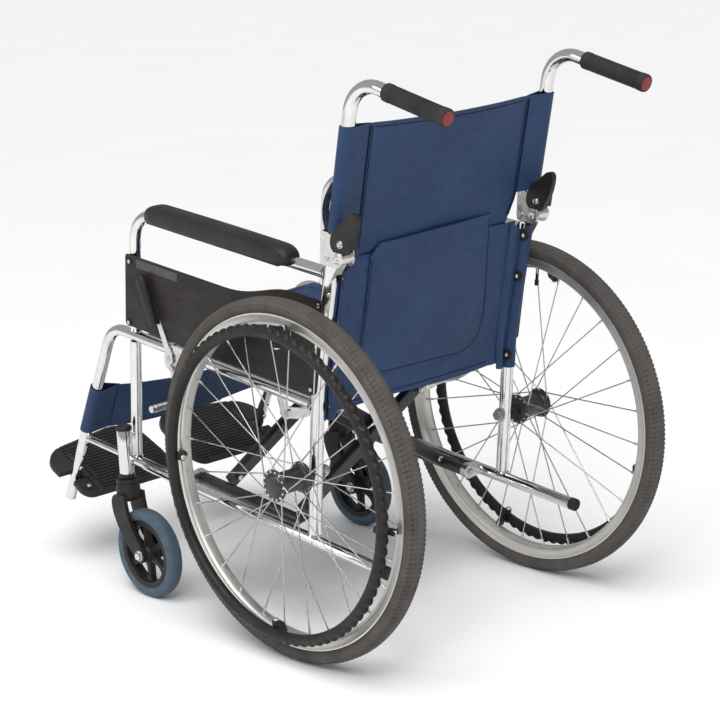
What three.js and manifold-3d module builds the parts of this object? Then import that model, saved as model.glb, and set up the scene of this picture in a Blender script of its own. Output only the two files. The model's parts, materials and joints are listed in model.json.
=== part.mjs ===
// Folding manual wheelchair, millimetres, +Z up.
// The user faces -Y, the user's left is +X, and the floor is Z = 0.
import * as THREE from 'three';
import { mergeVertices } from 'three/addons/utils/BufferGeometryUtils.js';
import Module from 'manifold-3d';

const wasm = await Module();
wasm.setup();

// ---------------------------------------------------------------------------
// Driving dimensions
// ---------------------------------------------------------------------------

const AXLE_Y = 204.1;         // rear axle from the middle of the overall length
const WHEEL_R = 282;          // rear tyre, outside radius
const WHEEL_X = 267;          // rear wheel plane from the centre line
const SEAT_SLOPE = 6;         // backward slope of the rails, degrees
const FRAME_X = 210;          // side frame tube plane from the centre line
const GAP = 0.4;              // clearance between touching pieces

// The chassis is drawn square to its rails: u runs back along the rails and v
// runs up, with u = v = 0 on the rear axle. The left side is drawn and the
// right side is its mirror image.
const RAIL_R = 9.5;           // rails, legs, front posts and arm tubes
const POST_R = 10.5;          // rear posts and back canes
const STRUT_R = 6;            // strut from the leg to the lower rail
const RAIL_V = -112;          // lower rail
const RAIL_FRONT_U = -452;
const RAIL_TAIL_U = 164;
const SEAT_RAIL_V = 108;      // upper rail, beside the seat
const ARM_V = 318;            // arm tube
const FRONT_POST_U = -443;
const POST_TOP_V = 330;
const POST_BEND_V = 131;      // the rear post leans back above this height
const LEG_CORNER_U = -507;    // where the upper rail's line meets the leg's
const LEG_LEAN = 20;          // leg against the frame's v, degrees
const LEG_LENGTH = 366;
const BEND_R = 50;

// Cross brace: each half is a lower pivot tube, two arms and a seat tube.
const PIVOT_X = 178;
const PIVOT_V = -108;
const PIVOT_TUBE_U = [-305, -55];
const CLAMP_WIDTH = 12;
const SEAT_TUBE_V = 116;
const SEAT_TUBE_U = [-440, -20];
const BRACE_R = 11;
const ARM_THICK = 16;
const ARM_WIDTH = 22;
const ARM_PITCH = 23;         // from an arm of one half to its partner
const REAR_ARM_U = -80;
const FRONT_ARM_U = -250;
const CROSS_BOLT_R = 5;
const LINK_PIVOT = [196, 70];
const LINK_END = [78.3, 53.3];
const LINK_THICK = 5;
const LINK_WIDTH = 18;
const LINK_LEFT_U = -89;
const LINK_RIGHT_U = -65.9;

// Back
const HINGE = [46, 346];      // back hinge axis
const HINGE_R = 8;
const CANE_FOOT = [27, 350];
const CANE_CORNER = [59.5, 613.8];
const GRIP_START = [125.5, 604.4];
const GRIP_END = [248, 587.1];
const GRIP_R = 17;
const BACK_TOP_V = 543;
const LEVER_PIVOT = [48, 367];

// Rear wheels
const AXLE_R = 6;
const RIM_IN = 240;
const RIM_OUT = 259.5;
const SPOKES = 28;
const HUB_HALF = 29;
const HUB_FLANGE_R = 25;
const HANDRIM_R = 238;
const HANDRIM_X = 33;
const HANDRIM_SECTION = 9.5;
const WHEEL_SEGMENTS = 36;
const HANDRIM_TURN = { left: -8, right: -16 };

// Casters stand upright whatever the seat slope.
const CASTER_R = 75;
const CASTER_X = 240;
const STEM_Y = -441;
const CASTER_AXLE_Y = -394;
const STEM_R = 8;
const HOUSING_Z = [199, 284];

// Brakes
const BRAKE_PIVOT = [-335, 98];
const SHOE_PIVOT = [-320, 88];
const SHOE_BAR = [-303, 35];
const LEVER_X = 224.2;
const SHOE_X = 228;

// Footplates stand square to the legs.
const PLATE_ALONG_LEG = 317;
const PLATE_THICK = 9;
const FOOT_HINGE_X = 188;
const FOOT_HINGE_DROP = 6;
const PLATE_REAR = -57;
const FOOT_NOTCH = 13;        // half the plate's notch round the leg

// ---------------------------------------------------------------------------
// Geometry helpers
// ---------------------------------------------------------------------------

const rad = THREE.MathUtils.degToRad;
const LEG_DIR = [-Math.sin(rad(LEG_LEAN)), -Math.cos(rad(LEG_LEAN))];

// How far back the rear post, and the back cane in line with it, sit at v.
function postLean(v) {
  const slope = (CANE_CORNER[0] - CANE_FOOT[0]) / (CANE_CORNER[1] - CANE_FOOT[1]);
  return Math.max(0, (v - POST_BEND_V) * slope);
}

function legPoint(distance) {
  return [LEG_CORNER_U + LEG_DIR[0] * distance, SEAT_RAIL_V + LEG_DIR[1] * distance];
}

function toSolid(geometry) {
  const bare = geometry.clone();
  bare.deleteAttribute('normal');
  bare.deleteAttribute('uv');
  const merged = mergeVertices(bare, 1e-4);
  const index = merged.index.array;
  const kept = [];
  for (let i = 0; i < index.length; i += 3) {
    const [a, b, c] = [index[i], index[i + 1], index[i + 2]];
    if (a !== b && b !== c && c !== a) kept.push(a, b, c);
  }
  const vertProperties = new Float32Array(merged.attributes.position.array);
  const triVerts = new Uint32Array(kept);
  return new wasm.Manifold(new wasm.Mesh({ numProp: 3, vertProperties, triVerts }));
}

function toGeometry(solid) {
  const mesh = solid.getMesh();
  const geometry = new THREE.BufferGeometry();
  geometry.setAttribute('position', new THREE.BufferAttribute(mesh.vertProperties, 3));
  geometry.setIndex(new THREE.BufferAttribute(mesh.triVerts, 1));
  geometry.computeVertexNormals();
  return geometry;
}

function join(...geometries) {
  return toGeometry(geometries.map(toSolid).reduce((a, b) => a.add(b)));
}

function cut(body, ...tools) {
  return toGeometry(tools.map(toSolid).reduce((a, b) => a.subtract(b), toSolid(body)));
}

// The same body on the other side of the centre line, faces still outward.
function mirrored(geometry) {
  const copy = geometry.index ? geometry.toNonIndexed() : geometry.clone();
  const position = copy.attributes.position;
  const count = position.count;
  const flipped = new Float32Array(count * 3);
  for (let i = 0; i < count; i += 1) {
    const from = i - (i % 3) + (2 - (i % 3));
    flipped[3 * i] = -position.getX(from);
    flipped[3 * i + 1] = position.getY(from);
    flipped[3 * i + 2] = position.getZ(from);
  }
  const bare = new THREE.BufferGeometry();
  bare.setAttribute('position', new THREE.BufferAttribute(flipped, 3));
  const result = mergeVertices(bare, 1e-4);
  result.computeVertexNormals();
  return result;
}

// A round bar between two points.
function rod(from, to, radius, sides = 16) {
  const start = new THREE.Vector3(...from);
  const along = new THREE.Vector3(...to).sub(start);
  const geometry = new THREE.CylinderGeometry(radius, radius, along.length(), sides);
  geometry.translate(0, along.length() / 2, 0);
  const turn = new THREE.Quaternion().setFromUnitVectors(
    new THREE.Vector3(0, 1, 0),
    along.clone().normalize(),
  );
  return geometry.applyQuaternion(turn).translate(start.x, start.y, start.z);
}

// A path of straight runs joined by arcs, walked knot by knot so that the
// straight runs take no extra sections.
class BentPath extends THREE.Curve {
  constructor(corners, bendRadius, arcSteps) {
    super();
    const points = corners.map((corner) => new THREE.Vector3(...corner));
    this.knots = [points[0]];
    this.tangents = [points[1].clone().sub(points[0]).normalize()];
    for (let i = 1; i < points.length - 1; i += 1) {
      const into = points[i].clone().sub(points[i - 1]).normalize();
      const out = points[i + 1].clone().sub(points[i]).normalize();
      const angle = into.angleTo(out);
      const side = out.clone().addScaledVector(into, -out.dot(into)).normalize();
      const start = points[i].clone().addScaledVector(into, -bendRadius * Math.tan(angle / 2));
      const centre = start.clone().addScaledVector(side, bendRadius);
      for (let step = 0; step <= arcSteps; step += 1) {
        const a = angle * step / arcSteps;
        this.knots.push(centre.clone()
          .addScaledVector(side, -bendRadius * Math.cos(a))
          .addScaledVector(into, bendRadius * Math.sin(a)));
        this.tangents.push(into.clone().multiplyScalar(Math.cos(a))
          .addScaledVector(side, Math.sin(a)));
      }
    }
    this.knots.push(points[points.length - 1]);
    this.tangents.push(this.tangents[this.tangents.length - 1].clone());
  }

  get steps() {
    return this.knots.length - 1;
  }

  getPointAt(share, target = new THREE.Vector3()) {
    return target.copy(this.knots[Math.round(share * this.steps)]);
  }

  getTangentAt(share, target = new THREE.Vector3()) {
    return target.copy(this.tangents[Math.round(share * this.steps)]);
  }
}

function circleShape(radius, sides) {
  const points = [];
  for (let i = 0; i < sides; i += 1) {
    const a = 2 * Math.PI * i / sides;
    points.push(new THREE.Vector2(radius * Math.cos(a), radius * Math.sin(a)));
  }
  return new THREE.Shape(points);
}

function bentTube(corners, radius, bendRadius = BEND_R, sides = 14, arcSteps = 6) {
  const path = new BentPath(corners, bendRadius, arcSteps);
  return new THREE.ExtrudeGeometry(circleShape(radius, sides), {
    steps: path.steps, bevelEnabled: false, extrudePath: path,
  });
}

function polygon(points) {
  return new THREE.Shape(points.map(([x, y]) => new THREE.Vector2(x, y)));
}

// An outline drawn in (u, v) and given its thickness across the chair.
function sidePlate(shape, x0, x1, curveSegments = 6) {
  const geometry = new THREE.ExtrudeGeometry(shape, {
    depth: x1 - x0, bevelEnabled: false, curveSegments,
  });
  geometry.translate(0, 0, x0);
  return geometry.applyMatrix4(new THREE.Matrix4().makeBasis(
    new THREE.Vector3(0, 1, 0),
    new THREE.Vector3(0, 0, 1),
    new THREE.Vector3(1, 0, 0),
  ));
}

// An outline drawn in (x, v) and given its thickness along the rails.
function crossPlate(shape, u0, u1, curveSegments = 6) {
  const geometry = new THREE.ExtrudeGeometry(shape, {
    depth: u1 - u0, bevelEnabled: false, curveSegments,
  });
  geometry.translate(0, 0, -u1);
  return geometry.applyMatrix4(new THREE.Matrix4().makeBasis(
    new THREE.Vector3(1, 0, 0),
    new THREE.Vector3(0, 0, 1),
    new THREE.Vector3(0, -1, 0),
  ));
}

function box(x, y, z) {
  const geometry = new THREE.BoxGeometry(x[1] - x[0], y[1] - y[0], z[1] - z[0]);
  return geometry.translate((x[0] + x[1]) / 2, (y[0] + y[1]) / 2, (z[0] + z[1]) / 2);
}

// Bodies of revolution: about an axis along X from [x, radius] points, and
// about an upright axis from [radius, z] points.
function turnedOnX(profile, segments) {
  const points = profile.map(([x, radius]) => new THREE.Vector2(radius, x));
  return new THREE.LatheGeometry(points, segments).rotateZ(-Math.PI / 2);
}

function turnedUpright(profile, segments) {
  const points = profile.map(([radius, z]) => new THREE.Vector2(radius, z));
  return new THREE.LatheGeometry(points, segments).rotateX(Math.PI / 2);
}

function closed(profile) {
  return [...profile, profile[0]];
}

// ---------------------------------------------------------------------------
// Materials
// ---------------------------------------------------------------------------

function material(color, roughness, metalness) {
  return new THREE.MeshStandardMaterial({ color, roughness, metalness });
}

const CHROME = material(0xd8d8d6, 0.12, 1);
const BLACK_STEEL = material(0x1d1a1a, 0.4, 0.4);
const ALLOY = material(0xc4c2bc, 0.35, 0.9);
const RUBBER = material(0x3b3735, 0.85, 0);
const CASTER_GREY = material(0x5f6c77, 0.7, 0);
const BLACK_PLASTIC = material(0x262220, 0.5, 0);
const PANEL = material(0x2f2b29, 0.7, 0);
const VINYL_BLACK = material(0x2b2726, 0.55, 0);
const VINYL_BLUE = material(0x24406b, 0.6, 0);

const model = new THREE.Group();
const ground = new THREE.Group();
ground.position.y = AXLE_Y;
model.add(ground);
const chassis = new THREE.Group();
chassis.position.z = WHEEL_R;
chassis.rotation.x = rad(-SEAT_SLOPE);
ground.add(chassis);

function add(group, name, geometry, surface) {
  const mesh = new THREE.Mesh(geometry, surface);
  mesh.name = name;
  group.add(mesh);
}

// Puts the drawn left-hand body and its mirror image in place.
function addPair(group, name, geometry, surface) {
  add(group, `${name}_left`, geometry, surface);
  add(group, `${name}_right`, mirrored(geometry), surface);
}

// ---------------------------------------------------------------------------
// Side frames
// ---------------------------------------------------------------------------

// The saddle that holds one end of a brace tube beside the lower rail.
function pivotClamp(u) {
  const eye = rod([PIVOT_X, u, PIVOT_V], [PIVOT_X, u + CLAMP_WIDTH, PIVOT_V], 12.5, 14);
  const web = box([PIVOT_X, FRAME_X - 4], [u, u + CLAMP_WIDTH], [PIVOT_V - 9, PIVOT_V + 7]);
  return [eye, web];
}

// Lower rail with its front strut, the foot of the front post and the saddles.
function lowerRail() {
  const strutEnd = LEG_CORNER_U + (RAIL_V - SEAT_RAIL_V) * Math.tan(rad(LEG_LEAN))
    + RAIL_R / Math.cos(rad(LEG_LEAN)) + 2.7;
  return join(
    rod([FRAME_X, RAIL_FRONT_U, RAIL_V], [FRAME_X, RAIL_TAIL_U, RAIL_V], RAIL_R),
    rod([FRAME_X, strutEnd, RAIL_V], [FRAME_X, RAIL_FRONT_U + 5, RAIL_V], STRUT_R, 12),
    rod([FRAME_X, FRONT_POST_U, RAIL_V], [FRAME_X, FRONT_POST_U, SEAT_RAIL_V - RAIL_R - GAP], RAIL_R),
    ...pivotClamp(PIVOT_TUBE_U[0] - CLAMP_WIDTH - GAP),
    ...pivotClamp(PIVOT_TUBE_U[1] + GAP),
  );
}

// Upper rail, front bend and leg in one tube, with the hanger for the link.
function seatRail(linkU) {
  const [x, v] = LINK_PIVOT;
  const front = linkU - LINK_THICK / 2;
  const rear = linkU + LINK_THICK / 2 + GAP;
  const hanger = polygon([[x - 8, v - 10], [x + 8, v - 10], [FRAME_X + 8, 104], [FRAME_X - 9, 104]]);
  return join(
    bentTube([
      [FRAME_X, -POST_R - GAP, SEAT_RAIL_V],
      [FRAME_X, LEG_CORNER_U, SEAT_RAIL_V],
      [FRAME_X, ...legPoint(LEG_LENGTH)],
    ], RAIL_R),
    crossPlate(hanger, rear, rear + 4),
    rod([x, front - 3, v], [x, rear + 2, v], 4, 10),
    rod([x, front - 3.4, v], [x, front - GAP, v], 7, 6),
  );
}

function armTube() {
  return bentTube([
    [FRAME_X, postLean(ARM_V - RAIL_R) - POST_R - 2 * GAP, ARM_V],
    [FRAME_X, FRONT_POST_U, ARM_V],
    [FRAME_X, FRONT_POST_U, SEAT_RAIL_V + RAIL_R + GAP],
  ], RAIL_R, 48);
}

// Rear post with the wheel axle and, on top, the fixed half of the back hinge.
function rearPost() {
  const [u, v] = HINGE;
  const tongue = new THREE.Shape();
  tongue.moveTo(16, 304);
  tongue.lineTo(27, 303);
  tongue.lineTo(u, v - HINGE_R);
  tongue.absarc(u, v, HINGE_R, -Math.PI / 2, Math.PI * 0.75, false);
  tongue.lineTo(u - 9, v - 4);
  tongue.lineTo(18, POST_TOP_V - 2);
  return join(
    bentTube([
      [FRAME_X, 0, RAIL_V + RAIL_R + GAP],
      [FRAME_X, 0, POST_BEND_V],
      [FRAME_X, postLean(POST_TOP_V), POST_TOP_V],
    ], POST_R, 120),
    rod([194, 0, 0], [WHEEL_X + 19, 0, 0], AXLE_R, 12),
    rod([190, 0, 0], [FRAME_X - 11.5, 0, 0], 10, 6),
    sidePlate(tongue, FRAME_X - 9, FRAME_X + 9, 4),
  );
}

function sidePanel() {
  const front = FRONT_POST_U - 10;
  const rear = 20;
  const lean = 11;
  const low = 127;
  const step = 248;
  const high = 278;
  const shape = new THREE.Shape();
  shape.moveTo(front + 6, low);
  shape.lineTo(rear - lean - 8, low);
  shape.absarc(rear - lean - 8, low + 8, 8, -Math.PI / 2, 0, false);
  shape.lineTo(rear, high - 10);
  shape.absarc(rear - 10, high - 10, 10, 0, Math.PI / 2, false);
  shape.lineTo(-40, high);
  shape.bezierCurveTo(-100, high, -130, step, -205, step);
  shape.lineTo(front + 6, step);
  shape.absarc(front + 6, step - 6, 6, Math.PI / 2, Math.PI, false);
  shape.lineTo(front, low + 6);
  shape.absarc(front + 6, low + 6, 6, Math.PI, Math.PI * 1.5, false);
  return sidePlate(shape, FRAME_X + POST_R + 0.5, FRAME_X + POST_R + 3);
}

function armPad() {
  const centre = FRAME_X + 4.5;
  const low = ARM_V - 4;
  const body = box([centre - 22, centre + 22], [-397, -55], [low, ARM_V + 25]);
  const seatOnTube = rod([FRAME_X, -403, ARM_V], [FRAME_X, -48, ARM_V], RAIL_R + 0.6, 14);
  const mouth = box([FRAME_X - 10, FRAME_X + 10], [-403, -48], [low - 1, ARM_V]);
  return cut(body, seatOnTube, mouth);
}

// ---------------------------------------------------------------------------
// Rear wheels
// ---------------------------------------------------------------------------

function tyre() {
  return turnedOnX(closed([
    [-12, RIM_OUT + GAP], [-17, 264], [-17.5, 271], [-12, 279], [0, WHEEL_R],
    [12, 279], [17.5, 271], [17, 264], [12, RIM_OUT + GAP],
  ]), WHEEL_SEGMENTS);
}

function rim() {
  return turnedOnX(closed([
    [-13, RIM_OUT], [13, RIM_OUT], [12, 246], [6, RIM_IN], [-6, RIM_IN], [-12, 246],
  ]), WHEEL_SEGMENTS);
}

// Hub shell and laced spokes: odd spokes leave one flange, even the other.
function hubSpokes() {
  const bore = AXLE_R + 0.6;
  const floor = 21;
  const rimFlat = RIM_IN * Math.cos(Math.PI / WHEEL_SEGMENTS) - 0.7;
  const solids = [toSolid(turnedOnX([
    [floor, 0], [floor, bore], [-30, bore], [-30, 12], [-HUB_HALF, 17],
    [-HUB_HALF, HUB_FLANGE_R], [5 - HUB_HALF, HUB_FLANGE_R], [9 - HUB_HALF, 17],
    [HUB_HALF - 9, 17], [HUB_HALF - 5, HUB_FLANGE_R], [HUB_HALF, HUB_FLANGE_R],
    [HUB_HALF, 18], [HUB_HALF + 5, 12], [HUB_HALF + 6, 0],
  ], 14))];
  for (let i = 0; i < SPOKES; i += 1) {
    const flange = i % 2 ? 1 : -1;
    const lean = i % 4 < 2 ? 1 : -1;
    const outer = 2 * Math.PI * i / SPOKES;
    const inner = outer + lean * rad(52);
    const root = HUB_FLANGE_R - 4;
    solids.push(toSolid(rod(
      [flange * (HUB_HALF - 2.5 + 1.5 * lean), root * Math.cos(inner), root * Math.sin(inner)],
      [flange * 2, rimFlat * Math.cos(outer), rimFlat * Math.sin(outer)],
      1.1,
      3,
    )));
  }
  return toGeometry(solids.reduce((a, b) => a.add(b)));
}

// Push rim with four brackets standing on the side of the wheel rim.
function handrim(turn) {
  const ring = new THREE.TorusGeometry(HANDRIM_R, HANDRIM_SECTION, 7, 36)
    .rotateY(Math.PI / 2)
    .translate(HANDRIM_X, 0, 0);
  const parts = [ring];
  for (let i = 0; i < 4; i += 1) {
    const bracket = box([13.4, HANDRIM_X - 2], [-10, 10], [HANDRIM_R - 14, HANDRIM_R + 8]);
    parts.push(bracket.rotateX(Math.PI / 2 * i + rad(turn)));
  }
  return join(...parts);
}

function addWheel(side, label) {
  const group = new THREE.Group();
  group.position.x = side * WHEEL_X;
  chassis.add(group);
  const sided = (geometry) => (side > 0 ? geometry : mirrored(geometry));
  add(group, `tyre_${label}`, tyre(), RUBBER);
  add(group, `rim_${label}`, rim(), ALLOY);
  add(group, `hub_spokes_${label}`, sided(hubSpokes()), BLACK_STEEL);
  add(group, `handrim_${label}`, sided(handrim(HANDRIM_TURN[label])), BLACK_PLASTIC);
}

// ---------------------------------------------------------------------------
// Casters
// ---------------------------------------------------------------------------

function casterHousing() {
  const barrel = turnedUpright([
    [0, HOUSING_Z[1] - 10], [STEM_R + 0.6, HOUSING_Z[1] - 10], [STEM_R + 0.6, HOUSING_Z[0]],
    [12.5, HOUSING_Z[0]], [12.5, HOUSING_Z[1] - 4], [11, HOUSING_Z[1]], [0, HOUSING_Z[1]],
  ], 16).translate(CASTER_X, STEM_Y, 0);
  const web = box([FRAME_X, CASTER_X - 9], [-449, -439], [230, 270]);
  const lean = [Math.sin(rad(SEAT_SLOPE)), Math.cos(rad(SEAT_SLOPE))];
  const postPoint = (v) => [
    FRAME_X,
    FRONT_POST_U * lean[1] + v * lean[0],
    WHEEL_R - FRONT_POST_U * lean[0] + v * lean[1],
  ];
  return cut(join(barrel, web), rod(postPoint(-140), postPoint(60), RAIL_R + 0.6, 16));
}

function casterFork() {
  const crown = turnedUpright([
    [0, 158], [15, 158], [21, 166], [21, 190], [18, HOUSING_Z[0] - GAP],
    [STEM_R, HOUSING_Z[0] - GAP], [STEM_R, HOUSING_Z[1] - 12], [0, HOUSING_Z[1] - 12],
  ], 16).translate(CASTER_X, STEM_Y, 0);
  const blade = new THREE.Shape();
  blade.moveTo(STEM_Y - 15, 188);
  blade.lineTo(STEM_Y - 17, 165);
  blade.quadraticCurveTo(STEM_Y - 6, 120, CASTER_AXLE_Y - 12, CASTER_R - 5);
  blade.absarc(CASTER_AXLE_Y, CASTER_R, 13, Math.PI * 1.12, Math.PI * 2.15, false);
  blade.quadraticCurveTo(STEM_Y + 20, 125, STEM_Y + 17, 165);
  blade.lineTo(STEM_Y + 15, 188);
  return join(
    crown,
    sidePlate(blade, CASTER_X + 15.5, CASTER_X + 20.5, 5),
    sidePlate(blade, CASTER_X - 20.5, CASTER_X - 15.5, 5),
    rod([CASTER_X - 25, CASTER_AXLE_Y, CASTER_R], [CASTER_X + 25, CASTER_AXLE_Y, CASTER_R], 4, 10),
    rod([CASTER_X - 25, CASTER_AXLE_Y, CASTER_R], [CASTER_X - 20, CASTER_AXLE_Y, CASTER_R], 7, 6),
    rod([CASTER_X + 20, CASTER_AXLE_Y, CASTER_R], [CASTER_X + 25, CASTER_AXLE_Y, CASTER_R], 7, 6),
  );
}

function casterWheel() {
  const body = turnedOnX(closed([
    [-14, 4.6], [-14, 12], [-5, 15], [-5, 50], [-10, 52], [-10, 57],
    [10, 57], [10, 52], [5, 50], [5, 15], [14, 12], [14, 4.6],
  ]), 24);
  const windows = [];
  for (let i = 0; i < 6; i += 1) {
    const a = Math.PI / 3 * i;
    const y = 33 * Math.cos(a);
    const z = 33 * Math.sin(a);
    windows.push(rod([-20, y, z], [20, y, z], 10.5, 6));
  }
  return cut(body, ...windows).translate(CASTER_X, CASTER_AXLE_Y, CASTER_R);
}

function casterTyre() {
  return turnedOnX(closed([
    [-10, 57.5], [-13, 62], [-12, 70], [-6, CASTER_R], [6, CASTER_R], [12, 70], [13, 62], [10, 57.5],
  ]), 24).translate(CASTER_X, CASTER_AXLE_Y, CASTER_R);
}

// ---------------------------------------------------------------------------
// Back canes, hinges and grips
// ---------------------------------------------------------------------------

function alongGrip(share) {
  return GRIP_START.map((value, i) => value + (GRIP_END[i] - value) * share);
}

function backCane() {
  return bentTube([
    [FRAME_X, ...CANE_FOOT],
    [FRAME_X, ...CANE_CORNER],
    [FRAME_X, ...alongGrip(0.93)],
  ], POST_R);
}

function grip() {
  const body = rod([FRAME_X, ...alongGrip(0)], [FRAME_X, ...alongGrip(1)], GRIP_R);
  return cut(body, rod([FRAME_X, ...alongGrip(-0.2)], [FRAME_X, ...alongGrip(0.94)], POST_R + 0.6));
}

// The moving half of the back hinge: two cheeks, the lever's bolt, a front wall
// and the curved stay above it.
function hingeChannel() {
  const [u, v] = HINGE;
  const cheek = new THREE.Shape();
  cheek.moveTo(14, 384);
  cheek.lineTo(15, 338);
  cheek.quadraticCurveTo(16, 333, 22, 333);
  cheek.lineTo(u, v - 12);
  cheek.absarc(u, v, 12, -Math.PI / 2, Math.PI * 0.1, false);
  cheek.lineTo(54, 374);
  cheek.lineTo(42, 376);
  cheek.lineTo(27, 384);
  const wall = new THREE.Shape();
  wall.moveTo(13, 352);
  wall.lineTo(16, 352);
  wall.lineTo(16, 384);
  wall.bezierCurveTo(2, 410, 8, 430, 25, 456);
  wall.lineTo(22.5, 457.5);
  wall.bezierCurveTo(4, 432, -2, 408, 13, 382);
  const bolt = (near, far, radius, sides) => rod(
    [FRAME_X + near, ...LEVER_PIVOT],
    [FRAME_X + far, ...LEVER_PIVOT],
    radius,
    sides,
  );
  return join(
    sidePlate(cheek, FRAME_X - 13.4, FRAME_X - 11.2, 4),
    sidePlate(cheek, FRAME_X + 11.2, FRAME_X + 13.4, 4),
    sidePlate(wall, FRAME_X - 11.6, FRAME_X + 11.6, 6),
    bolt(-15, 15, 2.5, 8),
    bolt(-16, -13, 4.5, 6),
    bolt(13, 16, 4.5, 6),
  );
}

function hingeLever() {
  const [u, v] = LEVER_PIVOT;
  const shape = new THREE.Shape();
  shape.moveTo(u - 6, v + 8);
  shape.quadraticCurveTo(u - 2, v + 32, u + 14, v + 47);
  shape.quadraticCurveTo(u + 20, v + 52, u + 22, v + 45);
  shape.quadraticCurveTo(u + 20, v + 20, u + 12, v + 1);
  shape.quadraticCurveTo(u + 10, v - 8, u + 4, v - 10);
  shape.lineTo(u - 4, v - 8);
  return cut(
    sidePlate(shape, FRAME_X - 10.6, FRAME_X + 10.6, 5),
    rod([FRAME_X - 12, u, v], [FRAME_X + 12, u, v], 3, 10),
  );
}

// ---------------------------------------------------------------------------
// Brakes
// ---------------------------------------------------------------------------

function brakePlate() {
  const top = SEAT_RAIL_V + 13;
  const plate = polygon([[-352, 86], [-344, 77], [-313, 77], [-306, 86], [-306, top], [-352, top]]);
  return sidePlate(plate, FRAME_X + RAIL_R + GAP, FRAME_X + RAIL_R + 3.6);
}

function brakeLever() {
  const [u, v] = BRAKE_PIVOT;
  const strap = polygon([
    [u - 9, v - 3], [u - 5, v - 8], [u + 5, v - 8], [u + 9, v - 3], [u + 8, v + 6],
    [u - 24, v + 60], [u - 34, v + 58], [u - 12, v + 14],
  ]);
  const hand = polygon([
    [u - 34, v + 49], [u - 21, v + 51], [u - 17, v + 58], [u - 57, v + 126], [u - 66, v + 132],
    [u - 77, v + 128], [u - 79, v + 118], [u - 40, v + 53],
  ]);
  return join(
    sidePlate(strap, LEVER_X, LEVER_X + 3),
    sidePlate(hand, LEVER_X + 2, LEVER_X + 16),
  );
}

function brakeShoe() {
  const [u, v] = SHOE_PIVOT;
  const [barU, barV] = SHOE_BAR;
  const arm = polygon([
    [u - 8, v - 4], [barU - 7, barV], [barU - 4, barV - 6], [barU + 4, barV - 6],
    [barU + 7, barV], [u + 8, v - 2], [u + 6, v + 6], [u - 5, v + 7],
  ]);
  return join(
    sidePlate(arm, SHOE_X, SHOE_X + 3.5),
    rod([SHOE_X + 1, barU, barV], [289, barU, barV], 6, 12),
  );
}

// ---------------------------------------------------------------------------
// Footplates
// ---------------------------------------------------------------------------

// A point from its distance across, forward of the leg's axis and down the leg.
function footPoint(x, forward, distance) {
  const [u, v] = legPoint(distance);
  return [x, u + LEG_DIR[1] * forward, v - LEG_DIR[0] * forward];
}

// An outline drawn in (x, forward) and given its thickness down the leg.
function footLayer(shape, top, depth, curveSegments = 5) {
  const geometry = new THREE.ExtrudeGeometry(shape, {
    depth, bevelEnabled: false, curveSegments,
  });
  const matrix = new THREE.Matrix4().makeBasis(
    new THREE.Vector3(1, 0, 0),
    new THREE.Vector3(0, LEG_DIR[1], -LEG_DIR[0]),
    new THREE.Vector3(0, LEG_DIR[0], LEG_DIR[1]),
  );
  matrix.setPosition(0, ...legPoint(top));
  return geometry.applyMatrix4(matrix);
}

// Block on the leg's inner side, below the plate, with the hinge's knuckle and pin.
function footBracket() {
  const hinge = PLATE_ALONG_LEG + FOOT_HINGE_DROP;
  const half = FOOT_NOTCH - 1;
  const inner = FRAME_X - RAIL_R - GAP;
  const low = hinge + 23;
  const body = join(
    rod(footPoint(FOOT_HINGE_X, -half, hinge), footPoint(FOOT_HINGE_X, half, hinge), 7, 12),
    footLayer(polygon([
      [FOOT_HINGE_X, -half], [inner, -half], [inner, half], [FOOT_HINGE_X, half],
    ]), hinge - 5, low - hinge + 5),
    footLayer(polygon([
      [FOOT_HINGE_X, -half], [FRAME_X - 4, -half], [FRAME_X - 4, half], [FOOT_HINGE_X, half],
    ]), hinge + 8, low - hinge - 8),
    rod(footPoint(FOOT_HINGE_X, -50, hinge), footPoint(FOOT_HINGE_X, 50, hinge), 4, 10),
  );
  return cut(body, rod(
    footPoint(FRAME_X, 0, hinge - 10),
    footPoint(FRAME_X, 0, low + 10),
    RAIL_R + 0.6,
    16,
  ));
}

function footplate() {
  const outline = new THREE.Shape();
  outline.moveTo(45, PLATE_REAR);
  outline.lineTo(222, PLATE_REAR);
  outline.quadraticCurveTo(235, PLATE_REAR, 235, PLATE_REAR + 14);
  outline.lineTo(235, -FOOT_NOTCH);
  outline.lineTo(180, -FOOT_NOTCH);
  outline.lineTo(180, FOOT_NOTCH);
  outline.lineTo(235, FOOT_NOTCH);
  outline.lineTo(235, 34);
  outline.quadraticCurveTo(232, 66, 193, 77);
  outline.lineTo(145, 84);
  outline.lineTo(80, 94);
  outline.quadraticCurveTo(34, 96, 22, 55);
  outline.lineTo(18, 5);
  outline.quadraticCurveTo(18, -48, 45, PLATE_REAR);
  const hinge = PLATE_ALONG_LEG + FOOT_HINGE_DROP;
  const plate = join(
    footLayer(outline, PLATE_ALONG_LEG, PLATE_THICK),
    rod(footPoint(FOOT_HINGE_X, PLATE_REAR + 4, hinge), footPoint(FOOT_HINGE_X, -FOOT_NOTCH, hinge), 7, 12),
    rod(footPoint(FOOT_HINGE_X, FOOT_NOTCH, hinge), footPoint(FOOT_HINGE_X, 55, hinge), 7, 12),
  );
  return cut(plate, rod(
    footPoint(FOOT_HINGE_X, -51, hinge),
    footPoint(FOOT_HINGE_X, 51, hinge),
    4.6,
    10,
  ));
}

// ---------------------------------------------------------------------------
// Cross brace
// ---------------------------------------------------------------------------

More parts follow.
